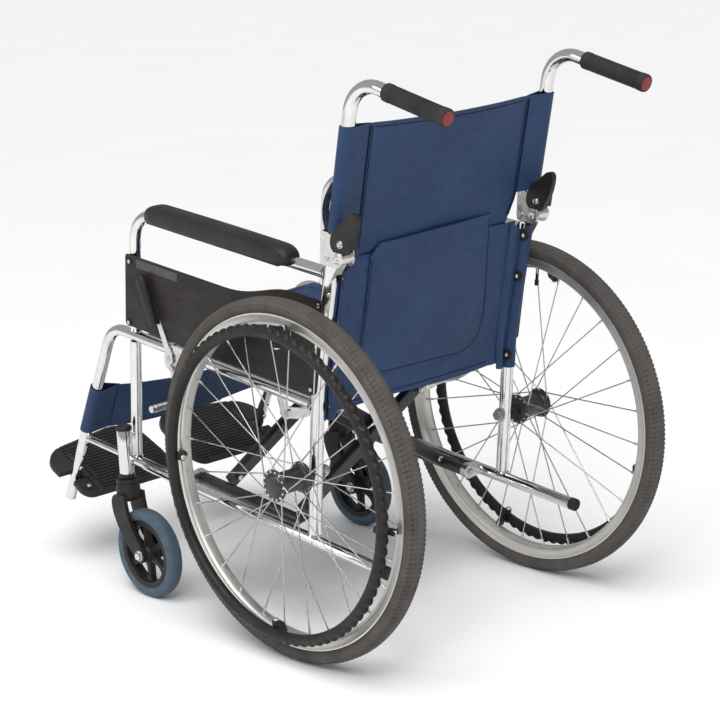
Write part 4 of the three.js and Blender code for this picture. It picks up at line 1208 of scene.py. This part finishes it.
def brake_handle():
    u, v = (-335.0, 98.0)
    low, high = np.array([u - 29.0, v + 51]), np.array([u - 68.0, v + 128])
    d = unit(high - low)
    n = np.array([-d[1], d[0]])
    length = float(np.linalg.norm(high - low))
    b = Body()
    stops = [0, 1.5, 4, 10, 22, 38, 54, 68, length - 8, length - 3.5, length - 1, length]
    wide = [5.4, 6.8, 7.6, 8.0, 8.4, 9.0, 9.8, 10.4, 9.8, 7.6, 4.6, 2.0]
    thick = [3.8, 5.0, 5.8, 6.2, 6.4, 6.7, 7.0, 7.0, 6.6, 5.2, 3.2, 1.2]
    rings = []
    for s, w, t in zip(stops, wide, thick):
        c = low + d * s
        ring = []
        for k in range(24):
            a = 2 * math.pi * k / 24
            ca, sa = math.cos(a), math.sin(a)
            p = c + n * w * math.copysign(abs(ca) ** 0.7, ca)
            ring.append((233.6 + t * math.copysign(abs(sa) ** 0.7, sa), p[0], p[1]))
        rings.append(ring)
    verts = [p for ring in rings for p in ring]
    faces = [(i * 24 + k, i * 24 + (k + 1) % 24, (i + 1) * 24 + (k + 1) % 24, (i + 1) * 24 + k)
             for i in range(len(rings) - 1) for k in range(24)]
    faces += [tuple(range(24))[::-1], tuple((len(rings) - 1) * 24 + k for k in range(24))]
    b.add(verts, faces)
    return b


def brake_shoe():
    (u, v), (bar_u, bar_v) = (-320.0, 88.0), (-303.0, 35.0)
    arm = rounded([(u - 8, v - 4), (bar_u - 7, bar_v), (bar_u - 4, bar_v - 6), (bar_u + 4, bar_v - 6),
                   (bar_u + 7, bar_v), (u + 8, v - 2), (u + 6, v + 6), (u - 5, v + 7)], 4)
    b = Body()
    prism(b, arm, 228.0, 231.5)
    bolt_head(b, (231.5, u, v), (1, 0, 0), 5.6, 3.2, 1, hexagon=True, washer=7)
    rod(b, (228.6, bar_u, bar_v), (289, bar_u, bar_v), 5.9, 20, 0, soft=0.7)
    bar = [(236 + k * 3.4 + o, r) for k in range(14) for o, r in ((0, 6.0), (0.8, 6.5), (2.0, 6.5), (2.8, 6.0))]
    sweep(b, [(x, bar_u, bar_v) for x, _ in bar], lambda i, _: circle(bar[i][1], 18), 2, up=(0.0, 1.0, 0.0))
    return b


pair(brake_lever(), "brake_strap", [ZINC, SPOKE], "brake_lever", "black_plastic", ["brake_lever"], bevel=0.4)
pair(brake_handle(), "brake_handle", MOULDED, "brake_lever", "black_plastic", smooth=60)
pair(brake_shoe(), "brake_block", [ZINC, SPOKE, ZINC], "brake_shoe", "chrome_tube", ["brake_shoe"], smooth=40)

# ---------------------------------------------------------------------------
# Footplates
# ---------------------------------------------------------------------------

FOOT_S, FOOT_HINGE_X, FOOT_REAR = 317.0, 188.0, -57.0
FOOT_NOTCH, FOOT_BORDER = 13.0, 198.0


def foot(points):
    """(x, forward of the leg, distance down the leg) to chassis (x, u, v)."""
    return [(x, *leg(s, f)) for x, f, s in points]


def foot_outline(inset=0.0):
    shape = [(45, FOOT_REAR), (205, FOOT_REAR)]
    shape += bezier((205, FOOT_REAR), (216, FOOT_REAR), (224, -48), (225, -36), 6)[1:]
    shape += [(223, -FOOT_NOTCH), (180, -FOOT_NOTCH), (180, FOOT_NOTCH), (235, FOOT_NOTCH), (235, 34)]
    shape += bezier((235, 34), (233, 56), (216, 71), (193, 77), 6)[1:]
    shape += [(145, 84), (80, 94)] + bezier((80, 94), (44, 95), (28, 78), (22, 55), 8)[1:]
    shape += [(18, 5)] + bezier((18, 5), (18, -30), (26, -55), (45, FOOT_REAR), 8)[1:-1]
    if not inset:
        return shape
    pts = np.array(shape, float)
    n = len(pts)
    out = []
    for i in range(n):
        a, b = unit(pts[i] - pts[i - 1]), unit(pts[(i + 1) % n] - pts[i])
        normal = unit(np.array([-(a + b)[1], (a + b)[0]]))
        out.append(tuple(pts[i] + normal * inset))
    return out


def layer(body, outline, top, bottom, mat=0):
    n = len(outline)
    area = sum(x0 * y1 - x1 * y0 for (x0, y0), (x1, y1) in zip(outline, outline[1:] + outline[:1]))
    ring = list(outline) if area > 0 else list(outline)[::-1]
    verts = foot([(x, f, top) for x, f in ring]) + foot([(x, f, bottom) for x, f in ring])
    faces = [tuple(range(n)), tuple(range(n, 2 * n))[::-1]]
    faces += [(k, n + k, n + (k + 1) % n, (k + 1) % n) for k in range(n)]
    body.add(verts, faces, None, mat)


def footplate():
    """Moulded plate: grip ribs inside a raised border that is broad beside the leg."""
    b = Body()
    outline = foot_outline()
    layer(b, outline, FOOT_S + 1.9, FOOT_S + 9.0)
    rear_patch = [(FOOT_BORDER, FOOT_REAR)] + [p for p in outline if p[0] > 200 and p[1] < 0]
    layer(b, rear_patch + [(FOOT_BORDER, -FOOT_NOTCH)], FOOT_S, FOOT_S + 2.2)
    front_patch = [(FOOT_BORDER, FOOT_NOTCH)] + [p for p in outline if p[0] > FOOT_BORDER and p[1] > 0]
    layer(b, front_patch + [(FOOT_BORDER, 75.6)], FOOT_S, FOOT_S + 2.2)
    layer(b, [(48, FOOT_REAR), (FOOT_BORDER - 0.1, FOOT_REAR), (FOOT_BORDER - 0.1, -48), (48, -48)],
          FOOT_S + 0.3, FOOT_S + 2.2)
    inner = foot_outline(6.0)
    start = outline.index((193, 77))
    rim = list(range(start, len(outline))) + [0]
    for i, j in zip(rim, rim[1:]):
        layer(b, [outline[i], outline[j], inner[j], inner[i]], FOOT_S + 0.3, FOOT_S + 2.2)
    for f in np.arange(-44, 84, 7.4):
        low, high = foot_span(inner, f - 1.7), foot_span(inner, f + 1.7)
        if low is None or high is None:
            continue
        x0, x1 = max(low[0], high[0]) + 0.6, min(low[1], high[1], 174 if abs(f) < 17 else FOOT_BORDER) - 1.0
        rib = [(x0, f - 1.8), (x1, f - 1.8), (x1, f + 1.8), (x0, f + 1.8)]
        layer(b, rib, FOOT_S + 0.4, FOOT_S + 2.0)
    at, deeper = foot([(207, -36, FOOT_S), (207, -36, FOOT_S - 1)])
    up = unit(np.array(deeper) - np.array(at))
    rod(b, at, np.array(at) + up * 1.2, 7.5, 24, 0, soft=0.5)
    bolt_head(b, np.array(at) + up * 1.2, up, 4.4, 2.4, 1)
    return b


def foot_span(outline, f):
    hits = []
    for (x0, f0), (x1, f1) in zip(outline, outline[1:] + outline[:1]):
        if (f0 - f) * (f1 - f) < 0:
            hits.append(x0 + (x1 - x0) * (f - f0) / (f1 - f0))
    return (min(hits), max(hits)) if len(hits) >= 2 else None


def foot_hinge():
    b = Body()
    hinge = FOOT_S + 6
    for start, stop in ((FOOT_REAR + 4, -FOOT_NOTCH), (FOOT_NOTCH, 55)):
        a, c = foot([(FOOT_HINGE_X, start, hinge), (FOOT_HINGE_X, stop, hinge)])
        rod(b, a, c, 6.9, 24, 0, soft=0.8)
    return b


def foot_bracket():
    """Block on the leg's inner side, with the knuckle that the plate swings on."""
    b = Body()
    hinge, half = FOOT_S + 6, FOOT_NOTCH - 1
    inner, low = FRAME_X - RAIL_R - 0.4, FOOT_S + 29
    a, c = foot([(FOOT_HINGE_X, -half, hinge), (FOOT_HINGE_X, half, hinge)])
    rod(b, a, c, 6.9, 24, 0, soft=0.6)
    layer(b, rounded([(FOOT_HINGE_X, -half), (inner, -half), (inner, half), (FOOT_HINGE_X, half)], 1.5),
          FOOT_S + 1, low)
    saddle = [(FOOT_HINGE_X, -half), (206, -half)]
    saddle += [(FRAME_X + 10 * math.cos(t), 10 * math.sin(t)) for t in np.linspace(-1.98, -4.30, 14)]
    layer(b, saddle + [(206, half), (FOOT_HINGE_X, half)], FOOT_S + 14, low)
    side = foot([(FOOT_HINGE_X, 0, FOOT_S + 22)])[0]
    bolt_head(b, side, (-1, 0, 0), 5.0, 3.0, 0, hexagon=True)
    return b


pair(footplate(), "foot_tread", [FOOT, ZINC], "footplate", "black_plastic", ["footplate"], smooth=35, bevel=0.6)
pair(foot_hinge(), "foot_barrel", FOOT, "footplate", "black_plastic", smooth=40)
pair(foot_bracket(), "foot_clamp", [MOULDED, ZINC], "side", "black_plastic", ["foot_bracket"], smooth=40)

# ---------------------------------------------------------------------------
# Cross brace and links
# ---------------------------------------------------------------------------


def brace_tube(x, span, v):
    b = Body()
    rod(b, (x, span[0], v - 1.5), (x, span[1], v - 1.5), 9.5, 30, soft=0.6)
    for u, way in ((span[0], -1), (span[1], 1)):
        bolt_head(b, (x, u, v - 1.5), (0, way, 0), 8.4, 0.3, 1)
    return b


def brace_arm(side, u, clamped):
    """A flat-sided tube, pressed at both ends, with bolt heads near both ends; the clamped arm also has the pivot pin
    and hexagon heads at its middle.
    """
    b = Body()
    run, rise = 2 * PIVOT_X, SEAT_TUBE_V - PIVOT_V
    length = math.hypot(run, rise) - 2 * 11.4
    d = np.array([-side * run, 0, rise]) / math.hypot(run, rise)
    middle = np.array([0, u, (SEAT_TUBE_V + PIVOT_V) / 2])
    n = np.cross(d, (0, 1, 0))
    stops = [-length / 2, -length / 2 + 3, -length / 2 + 26, -length / 2 + 40, length / 2 - 40,
             length / 2 - 26, length / 2 - 3, length / 2]
    squeeze = [0.82, 0.84, 0.86, 1.0, 1.0, 0.86, 0.84, 0.82]

    def section(i, _):
        h = 8.0 * squeeze[i]
        return rounded([(-11, -h), (11, -h), (11, h), (-11, h)], 3.2, 3)

    sweep(b, [middle + d * s for s in stops], section, up=tuple(n))
    for end in (-1, 1):
        at = middle + d * end * (length / 2 - 14)
        for sign in (-1, 1):
            bolt_head(b, at + np.array([0, sign * 11, 0]), (0, sign, 0), 4.6, 1.6, 1)
    if clamped:
        rod(b, middle + np.array([0, -36.6, 0]), middle, 5, 16, 1)
        bolt_head(b, middle + np.array([0, 11, 0]), (0, 1, 0), 8.0, 4.0, 1, hexagon=True, washer=9)
        bolt_head(b, middle + np.array([0, -34.6, 0]), (0, -1, 0), 8.0, 4.0, 1, hexagon=True, washer=9)
    return b


for label, side, shift in (("a", 1, 0.0), ("b", -1, -23.0)):
    body = f"x_frame_{label}"
    mats = [STEEL, ZINC]
    piece(brace_tube(side * PIVOT_X, (-305, -55), PIVOT_V), f"brace_{label}_foot", mats, body, "black_steel",
          [f"x{label}_lower_tube"], smooth=40)
    piece(brace_tube(-side * PIVOT_X, (-440, -20), SEAT_TUBE_V), f"brace_{label}_seat", mats, body,
          "black_steel", [f"x{label}_seat_tube"], smooth=40)
    piece(brace_arm(side, -80 + shift, side > 0), f"brace_{label}_rear", mats, body, "black_steel",
          [f"x{label}_rear_arm"], smooth=40)
    piece(brace_arm(side, -250 + shift, side > 0), f"brace_{label}_front", mats, body, "black_steel",
          [f"x{label}_front_arm"], smooth=40)


def link(u):
    (x0, v0), (x1, v1) = LINK_PIVOT, LINK_END
    length = math.hypot(x1 - x0, v1 - v0)
    n = (-(v1 - v0) / length, (x1 - x0) / length)

    def edge(share, offset):
        sway = 4 * math.sin(2 * math.pi * share) + offset
        return (x0 + (x1 - x0) * share + n[0] * sway, v0 + (v1 - v0) * share + n[1] * sway)

    b = Body()
    shares = np.linspace(0.0, 1.0, 22)
    turn = math.degrees(math.atan2(n[1], n[0]))
    outline = [edge(s, 8.9) for s in shares]
    outline += arc(LINK_END, 8.9, turn, turn + (180 if x1 < x0 else -180), 12)[1:-1]
    outline += [edge(s, -8.9) for s in shares[::-1]]
    outline += arc(LINK_PIVOT, 8.9, turn + 180, turn + 360, 12)[1:-1]
    prism(b, outline, u - 2.4, u + 2.4, "xv")
    bolt_head(b, (x1, u + 2.4, v1), (0, 1, 0), 6.4, 2.6, 1, hexagon=True, washer=8)
    return b


for label, u in (("left", -89.0), ("right", -65.9)):
    shape = link(u)
    piece(shape if label == "left" else shape.mirrored(), f"fold_strap_{label}", [ZINC, SPOKE],
          f"fold_link_{label}", "chrome_tube", [f"link_{label}"], smooth=40, bevel=0.4)

# ---------------------------------------------------------------------------
# Soft goods. Each sheet is a closed thin mesh. A
# sleeve or strip stays on its tube, and each sheet between the side frames
# gets a mesh of its own.
# ---------------------------------------------------------------------------

CLOTH = 1.5


def ease(x):
    x = max(0.0, min(1.0, x))
    return x * x * (3 - 2 * x)


def teardrop(centre, radius, tail, steps=26):
    """A loop round a tube whose two ends meet at the tail."""
    (cx, cy), (tx, ty) = centre, tail
    distance = math.hypot(tx - cx, ty - cy)
    base = math.atan2(ty - cy, tx - cx)
    spread = math.acos(radius / distance)
    turn = [base + spread + (2 * math.pi - 2 * spread) * k / steps for k in range(steps + 1)]
    around = [(cx + radius * math.cos(a), cy + radius * math.sin(a)) for a in turn]
    gap = 0.8
    first = [(tx + (around[0][0] - tx) * k / 5, ty + (around[0][1] - ty) * k / 5) for k in range(5)]
    last = [(around[-1][0] + (tx - around[-1][0]) * k / 5, around[-1][1] + (ty - around[-1][1]) * k / 5)
            for k in range(1, 6)]
    nudge = [(-(ty - cy) / distance * gap, (tx - cx) / distance * gap)]
    (nx, ny), = nudge
    first = [(x + nx * (1 - k / 5), y + ny * (1 - k / 5)) for k, (x, y) in enumerate(first)]
    last = [(x - nx * (k / 5), y - ny * (k / 5)) for k, (x, y) in enumerate(last, 1)]
    return first + around + last


def follow(points, share):
    """The point a share of the way along a line of points."""
    p = np.asarray(points, float)
    run = np.concatenate([[0], np.cumsum(np.linalg.norm(np.diff(p, axis=0), axis=1))])
    return tuple(np.interp(share * run[-1], run, p[:, k]) for k in range(p.shape[1]))


def ripple(x, v):
    """Slack and tension folds of the back, in millimetres."""
    soft = 0.55 * math.sin(x / 37 + v / 59) + 0.4 * math.sin(x / 19 - v / 83 + 1.3)
    soft += 0.35 * math.sin(x / 61 + v / 23 + 0.4) * ease((abs(x) - 60) / 90)
    drag = 0.0
    for side, lean, reach in ((1, -0.21, 96), (-1, -0.12, 60)):
        along = (SEAM - side * x) / reach
        line = 331 + lean * (SEAM - side * x)
        if 0 <= along < 1.6:
            drag += 1.7 * math.exp(-((v - line) / 6.5) ** 2) * (1 - ease(along / 1.6))
            drag -= 1.1 * math.exp(-((v - line + 14) / 9) ** 2) * (1 - ease(along / 1.6))
    return soft + drag


def back_surface(x, v):
    """Where the back's cloth lies, a little behind the line of the posts and canes."""
    rise = ease((v - 305) / 60)
    u = post_u(v) + 5.0 * (1 - rise) + 1.2 * rise
    slack = max(0.0, 1 - (x / SEAM) ** 2)
    return u + (3.5 + 3.0 * ease((v - 420) / 120)) * slack + ripple(x, v) * min(1.0, slack * 5)


def sling(body, name, rides, stands_for=(), gather=False, stitched=(), seam_shadow_lines=(),
          materials=None):
    """One sheet of the vinyl cloth with its thread, and dark cords that paint the shadow in a seam's fold."""
    parts = []
    # Painted shade: each dark cord stands in for the shadow in a seam's fold, not for a real cord.
    for k, line in enumerate(seam_shadow_lines):
        cord = Body(body.place)
        sweep(cord, line, circle(0.9, 8), 0)
        parts.append(cord.build(f"{name}_painted_seam_shadow_{k + 1}", THREAD_AND_SEAM_SHADE, smooth=60))
    for k, (line, normal) in enumerate(stitched):
        thread = Body(body.place)
        stitches(thread, line, normal)
        obj = thread.build(f"{name}_thread_{k + 1}", THREAD_AND_SEAM_SHADE, smooth=60)
        parts.append(obj)
    obj = body.build(name, materials or SLING, smooth=70)
    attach(obj, rides)
    if stands_for:
        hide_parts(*stands_for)
    for part in parts:
        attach(part, rides)
    if gather:
        for o in [obj] + parts:
            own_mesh(o)
    return obj


TOP_V, SLEEVE_V, JOIN_V, STRIP_V, HEM_V = 543.0, 386.0, 338.0, 335.0, 88.0


def sleeve():
    b = Body()

    def surface(s, t):
        v = SLEEVE_V + (TOP_V - SLEEVE_V) * t
        x, u = follow(teardrop((FRAME_X, cane_u(v)), 12.2, (SEAM, cane_u(v) + 1.6)), s)
        return (x, u, v + 1.6 * math.sin(s * 9 + 0.6) * (1 - t) ** 6)

    cloth(b, surface, 56, 26, CLOTH)
    return b


def upper_edge(v, sign):
    """Side edge of the upper cloth; the far one tapers in towards its foot."""
    return 169.0 if sign > 0 else -169 + 14 * ease((388 - v) / 48)


def upper_seam(sign, inset):
    """A line just inside the upper cloth's side edge, on top of its doubled hem."""
    rows = np.linspace(JOIN_V + 14, TOP_V - 4, 50)
    return [(upper_edge(v, sign) - sign * inset, back_surface(upper_edge(v, sign) - sign * inset, v) + 3.0, v)
            for v in rows]


def upper_back():
    b = Body()
    bottom = 320.0

    def surface(s, t):
        edge = upper_edge(bottom + (TOP_V - bottom) * t, -1)
        x = edge + (169 - edge) * s
        top = TOP_V - 3.5 * (1 - (x / 169) ** 2)
        v = bottom + (top - bottom) * t
        under = 3.4 * ease((JOIN_V + 8 - v) / 9)
        hem = 1.6 * ease((max(x - 158, edge + 11 - x)) / 3)
        return (x, back_surface(x, v) - under + hem, v)

    cloth(b, surface, 70, 54, CLOTH)
    return b


def lower_back():
    b = Body()

    def surface(s, t):
        x = -178 + 370 * s
        low = HEM_V + 6 + 1.5 * math.sin(x / 40)
        v = low + (JOIN_V - low) * t
        crease = -158 + 12 * (v - HEM_V) / (STRIP_V - HEM_V)
        doubled = 2.0 * ease((crease - x) / 2.5) - 1.0 * ease((abs(x) - 145) / 12)
        return (x, back_surface(x, v) + doubled, v)

    cloth(b, surface, 74, 60, CLOTH)
    return b


def strip_outline(edge, wrap):
    """The side strip's section, from the post's axis: a doubled edge, a valley, then onto the post."""
    lead = [(edge - 2, 7.0), (edge, 9.2), (edge + 3, 10.4), (edge + 8, 10.6)]
    lead += [(max(edge + 13, 180), 8.4), (188, 5.6), (193, 4.2), (197, 3.6)]
    return lead + arc((FRAME_X, 0), 12.1, 163, wrap, 20)


def back_strip(edge_low, edge_high, wrap):
    b = Body()

    def surface(s, t):
        edge = edge_low + (edge_high - edge_low) * t
        x, u = follow(strip_outline(edge, wrap), s)
        reach = ease((x - 160) / 40)
        v = HEM_V - 5 * reach + (STRIP_V - 9 * reach - HEM_V) * t
        swell = 0.9 * math.sin(v / 21 + 1) * math.exp(-((x - 186) / 9) ** 2) + 0.5 * math.sin(v / 47 + x / 9)
        return (x, post_u(v) + u + (swell if s < 0.6 else 0.0), v)

    cloth(b, surface, 64, 44, CLOTH)
    return b


def strip_screws():
    """Screws through black cup washers, into the inner side of the post."""
    b = Body()
    for v, degrees in ((311, 148), (242, 150), (106, 150)):
        a = math.radians(degrees)
        out = np.array([math.cos(a), math.sin(a), 0])
        at = np.array([FRAME_X, post_u(v), v])
        rod(b, at + out * 12.6, at + out * 15.4, 9.4, 26, 0, soft=1.2)
        rod(b, at + out * 15.2, at + out * 16.2, 6.6, 26, 0, soft=0.6)
        bolt_head(b, at + out * 16.0, out, 3.1, 2.0, 1)
    return b


POCKET_LEFT, POCKET_RIGHT = 140.0, -132.0


def pocket_x(x, v):
    """The pocket's right side leans in towards its top."""
    share = (POCKET_LEFT - x) / (POCKET_LEFT - POCKET_RIGHT)
    return x + 16 * share * ease((v - 170) / 175)


def pocket_edges(x):
    """The pocket's lowest and highest v at x: rounded below, and cut across one top corner."""
    base = 133.0 + 0.02 * x
    reach = 52.0
    inset = max(POCKET_RIGHT + reach - x, x - (POCKET_LEFT - reach), 0.0) / reach
    low = base + reach * (1 - math.sqrt(max(0.0, 1 - inset ** 2)))
    share = (POCKET_LEFT - x) / (POCKET_LEFT - POCKET_RIGHT)
    high = 352 + 8 * share + 1.5 * math.sin(math.pi * share)
    if x > 122:
        high -= (x - 122) * 1.05
    return low, high


def pocket_surface(x, v):
    low, high = pocket_edges(x)
    share = (v - low) / (high - low)
    across = math.sin(math.pi * (POCKET_LEFT - x) / (POCKET_LEFT - POCKET_RIGHT))
    lift = 1.9 + 4.2 * ease((share - 0.25) / 0.75) * max(0.0, across) ** 0.7
    lift += 0.5 * math.sin(x / 23 + v / 37)
    return (pocket_x(x, v), back_surface(pocket_x(x, v), v) + lift, v)


def pocket():
    b = Body()

    def surface(s, t):
        x = POCKET_RIGHT + (POCKET_LEFT - POCKET_RIGHT) * s
        low, high = pocket_edges(x)
        return pocket_surface(x, low + (high - low) * t)

    def thickness(s, t):
        return CLOTH * (2.1 if t > 0.955 else 1.0)

    cloth(b, surface, 60, 52, CLOTH, thickness=thickness)
    return b


def pocket_hem(inset):
    """The stitched line inside the pocket's sides and bottom."""
    line = []
    for v in np.linspace(331 - inset, 186, 30):
        line.append((POCKET_LEFT - inset, v))
    for x in np.linspace(POCKET_LEFT - inset, POCKET_RIGHT + inset, 60)[1:-1]:
        line.append((x, pocket_edges(x)[0] + inset))
    for v in np.linspace(186, 358 - inset, 34):
        line.append((POCKET_RIGHT + inset, v))
    return [np.array(pocket_surface(x, v)) + np.array([0, 0.8, 0]) for x, v in line]


def on_back(points, lift=0.85):
    return [(x, back_surface(x, v) + lift, v) for x, v in points]


rear = (0.0, 1.0, 0.0)
for side, sign in (("left", 1), ("right", -1)):
    shape = sleeve() if side == "left" else sleeve().mirrored()
    seam = [(sign * (SEAM + 3.5), cane_u(v) + 3.6, v) for v in np.linspace(SLEEVE_V + 4, TOP_V - 5, 30)]
    sling(shape, f"back_sleeve_{side}", f"back_{side}",
          stitched=[(seam, rear)])
    low_edge, high_edge, wrap = (183.0, 183.0, 138) if side == "left" else (176.0, 167.0, 66)
    shape = back_strip(low_edge, high_edge, wrap)
    shape = shape if side == "left" else shape.mirrored()
    edge = [(sign * (low_edge + 3 + (high_edge - low_edge) * t), post_u(v) + 10.0, v)
            for t, v in zip(np.linspace(0.02, 0.98, 40), np.linspace(HEM_V + 5, STRIP_V - 5, 40))]
    sling(shape, f"back_strip_{side}", f"side_{side}",
          stitched=[(edge, rear)])
pair(strip_screws(), "strip_screw", [WASHER, SPOKE], "side", "black_plastic", smooth=40)

top_hem = [(x, TOP_V - 3.5 * (1 - (x / 169) ** 2) - 7) for x in np.linspace(-160, 160, 60)]
# The dark cords along the upper cloth's side edges are painted shade: the shadow of the fold where the cloth meets
# the sleeve.
upper_cloth = sling(upper_back(), "back_upper_cloth", "back_left",
                    ["back_upper"], gather=True,
                    stitched=[(on_back(top_hem), rear), (upper_seam(1, 5.0), rear), (upper_seam(-1, 5.0), rear)],
                    seam_shadow_lines=[upper_seam(1, 0.2), upper_seam(-1, 0.2)])
low_hem = [(x, HEM_V + 15) for x in np.linspace(-150, 150, 60)]
lower_cloth = sling(lower_back(), "back_lower_cloth", "side_left",
                    ["back_lower"], gather=True,
                    stitched=[(on_back(low_hem), rear)])
sling(pocket(), "back_pocket", "side_left", gather=True,
      stitched=[(pocket_hem(3.5), rear)])

# Seat: over both seat tubes and round their outer sides.


def seat_sling():
    b = Body()
    wrap = [(PIVOT_X + 12.2 * math.sin(math.radians(a)), SEAT_TUBE_V + 12.2 * math.cos(math.radians(a)))
            for a in range(0, 236, 12)]
    left = wrap[::-1]
    inner = [(x, SEAT_TUBE_V + 12.2) for x in np.linspace(PIVOT_X, -PIVOT_X, 44)[1:-1]]
    line = left + inner + [(-x, v) for x, v in wrap]

    def surface(s, t):
        x, v = follow(line, s)
        u = -438 + 416 * t
        slack = max(0.0, 1 - (x / PIVOT_X) ** 2) if v > SEAT_TUBE_V + 11 else 0.0
        sag = (5.0 + 3.5 * math.sin(math.pi * t)) * slack
        fold = 0.5 * math.sin(u / 29 + x / 47) + 0.4 * math.sin(x / 23 - u / 61 + 0.8)
        return (x, u, v - sag + fold * min(1.0, slack * 3))

    cloth(b, surface, 96, 70, CLOTH)
    return b


def seat_line(points):
    out = []
    for x, u in points:
        slack = max(0.0, 1 - (x / PIVOT_X) ** 2)
        t = (u + 438) / 416
        fold = 0.5 * math.sin(u / 29 + x / 47) + 0.4 * math.sin(x / 23 - u / 61 + 0.8)
        out.append((x, u, SEAT_TUBE_V + 13.1 - (5.0 + 3.5 * math.sin(math.pi * t)) * slack
                    + fold * min(1.0, slack * 3)))
    return out


seat = seat_sling().build("seat_cloth", SLING, smooth=70)
seat_thread = Body()
for line in ([(x, -428) for x in np.linspace(-150, 150, 60)], [(x, -32) for x in np.linspace(-150, 150, 60)],
             [(156, u) for u in np.linspace(-424, -36, 70)], [(-156, u) for u in np.linspace(-424, -36, 70)]):
    stitches(seat_thread, seat_line(line), (0.0, 0.0, 1.0), step=5.0, length=3.4)
seat_rows = seat_thread.build("seat_thread", THREAD_AND_SEAM_SHADE, smooth=60)
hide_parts("seat_sling")
for obj in (seat, seat_rows):
    chassis([(-PIVOT_X + 12, -230, SEAT_TUBE_V)])[0]
    chassis([(PIVOT_X - 12, -230, SEAT_TUBE_V)])[0]
    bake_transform(obj)

# Calf strap: a loop round each leg tube and two overlapping lengths between.

STRAP_TOP, STRAP_LOW, STRAP_END, LAP_X = 127.0, 217.0, 166.0, -80.0


def strap_loop():
    b = Body()
    outline = teardrop((FRAME_X, 0.0), 11.4, (STRAP_END, -5.0))

    def surface(s, t):
        x, f = follow(outline, s)
        d = STRAP_LOW + (STRAP_TOP - STRAP_LOW) * t + 2.2 * math.sin(s * 7) * (t - 0.5)
        return (x, *leg(d, f))

    cloth(b, surface, 52, 16, CLOTH)
    return b


def strap_drop(x):
    return 7.5 * (1 - (x / STRAP_END) ** 2)


def strap_run(start, end, set_back):
    b = Body()

    def surface(s, t):
        x = start + (end - start) * s
        drop = strap_drop(x)
        d = (STRAP_LOW + drop * 0.7) + (STRAP_TOP - STRAP_LOW + drop * 0.5) * t
        f = -5.0 - set_back - 10 * (1 - (x / STRAP_END) ** 2) * (0.6 + 0.4 * t)
        f += 1.0 * math.sin(x / 27 + d / 31) * min(1.0, (STRAP_END - abs(x)) / 40)
        return (x, *leg(d, f))

    cloth(b, surface, 50, 16, CLOTH)
    return b


leg_rear = tuple(np.array([0.0, *leg(0, -1)]) - np.array([0.0, *leg(0, 0)]))
for side, sign in (("left", 1), ("right", -1)):
    shape = strap_loop() if side == "left" else strap_loop().mirrored()
    seam = [(sign * (STRAP_END + 3), *leg(d, -7.0)) for d in np.linspace(STRAP_TOP + 4, STRAP_LOW - 4, 16)]
    sling(shape, f"strap_loop_{side}", f"side_{side}",
          stitched=[(seam, leg_rear)])
near_run = sling(strap_run(LAP_X, STRAP_END + 2, 1.8), "strap_near", "side_left",
                 ["calf_strap"], gather=True)
far_run = sling(strap_run(-STRAP_END - 2, LAP_X + 45, 0.0), "strap_far", "side_left",
                gather=True)

# ---------------------------------------------------------------------------
# Floor, light and world
# ---------------------------------------------------------------------------

bpy.ops.mesh.primitive_plane_add(size=30, location=(0, 0, 0))
floor = bpy.context.object
floor.name = "floor"
floor_look = Look("floor_paint", 0.75)
floor_look.colour(floor_look.ramp(floor_look.noise(3), [(0.3, (0.93, 0.93, 0.93)), (0.7, (0.95, 0.95, 0.95))]))
floor.data.materials.append(floor_look.mat)

world = bpy.data.worlds.new("studio")
world.use_nodes = True
world.node_tree.nodes["Background"].inputs["Color"].default_value = (1.0, 1.0, 1.0, 1)
world.node_tree.nodes["Background"].inputs["Strength"].default_value = 0.42
backdrop = world.node_tree.nodes.new("ShaderNodeBackground")
backdrop.inputs["Color"].default_value = (1.0, 1.0, 1.0, 1)
backdrop.inputs["Strength"].default_value = 1.0
mixer = world.node_tree.nodes.new("ShaderNodeMixShader")
rays = world.node_tree.nodes.new("ShaderNodeLightPath")
world.node_tree.links.new(rays.outputs["Is Camera Ray"], mixer.inputs[0])
world.node_tree.links.new(world.node_tree.nodes["Background"].outputs["Background"], mixer.inputs[1])
world.node_tree.links.new(backdrop.outputs["Background"], mixer.inputs[2])
world.node_tree.links.new(mixer.outputs["Shader"], world.node_tree.nodes["World Output"].inputs["Surface"])
bpy.context.scene.world = world


def area_light(name, place, target, size, power, tint=(1.0, 1.0, 1.0)):
    data = bpy.data.lights.new(name, "AREA")
    data.shape = "RECTANGLE"
    data.size, data.size_y = size
    data.energy = power
    data.color = tint
    lamp = bpy.data.objects.new(name, data)
    lamp.location = place
    lamp.rotation_euler = (Vector(target) - Vector(place)).to_track_quat("-Z", "Y").to_euler()
    bpy.context.scene.collection.objects.link(lamp)
    return lamp


area_light("key", (2.4, 2.2, 3.0), (0, 0, 0.4), (1.4, 1.4), 45)
area_light("side", (3.2, -1.6, 1.8), (0, 0, 0.5), (1.0, 2.2), 22)
sun = bpy.data.objects.new("sun", bpy.data.lights.new("sun", "SUN"))
sun.data.energy, sun.data.angle = 1.95, math.radians(45)
sun.rotation_euler = (math.radians(-14), math.radians(16), 0)
bpy.context.scene.collection.objects.link(sun)

bpy.context.scene.view_settings.view_transform = "Standard"
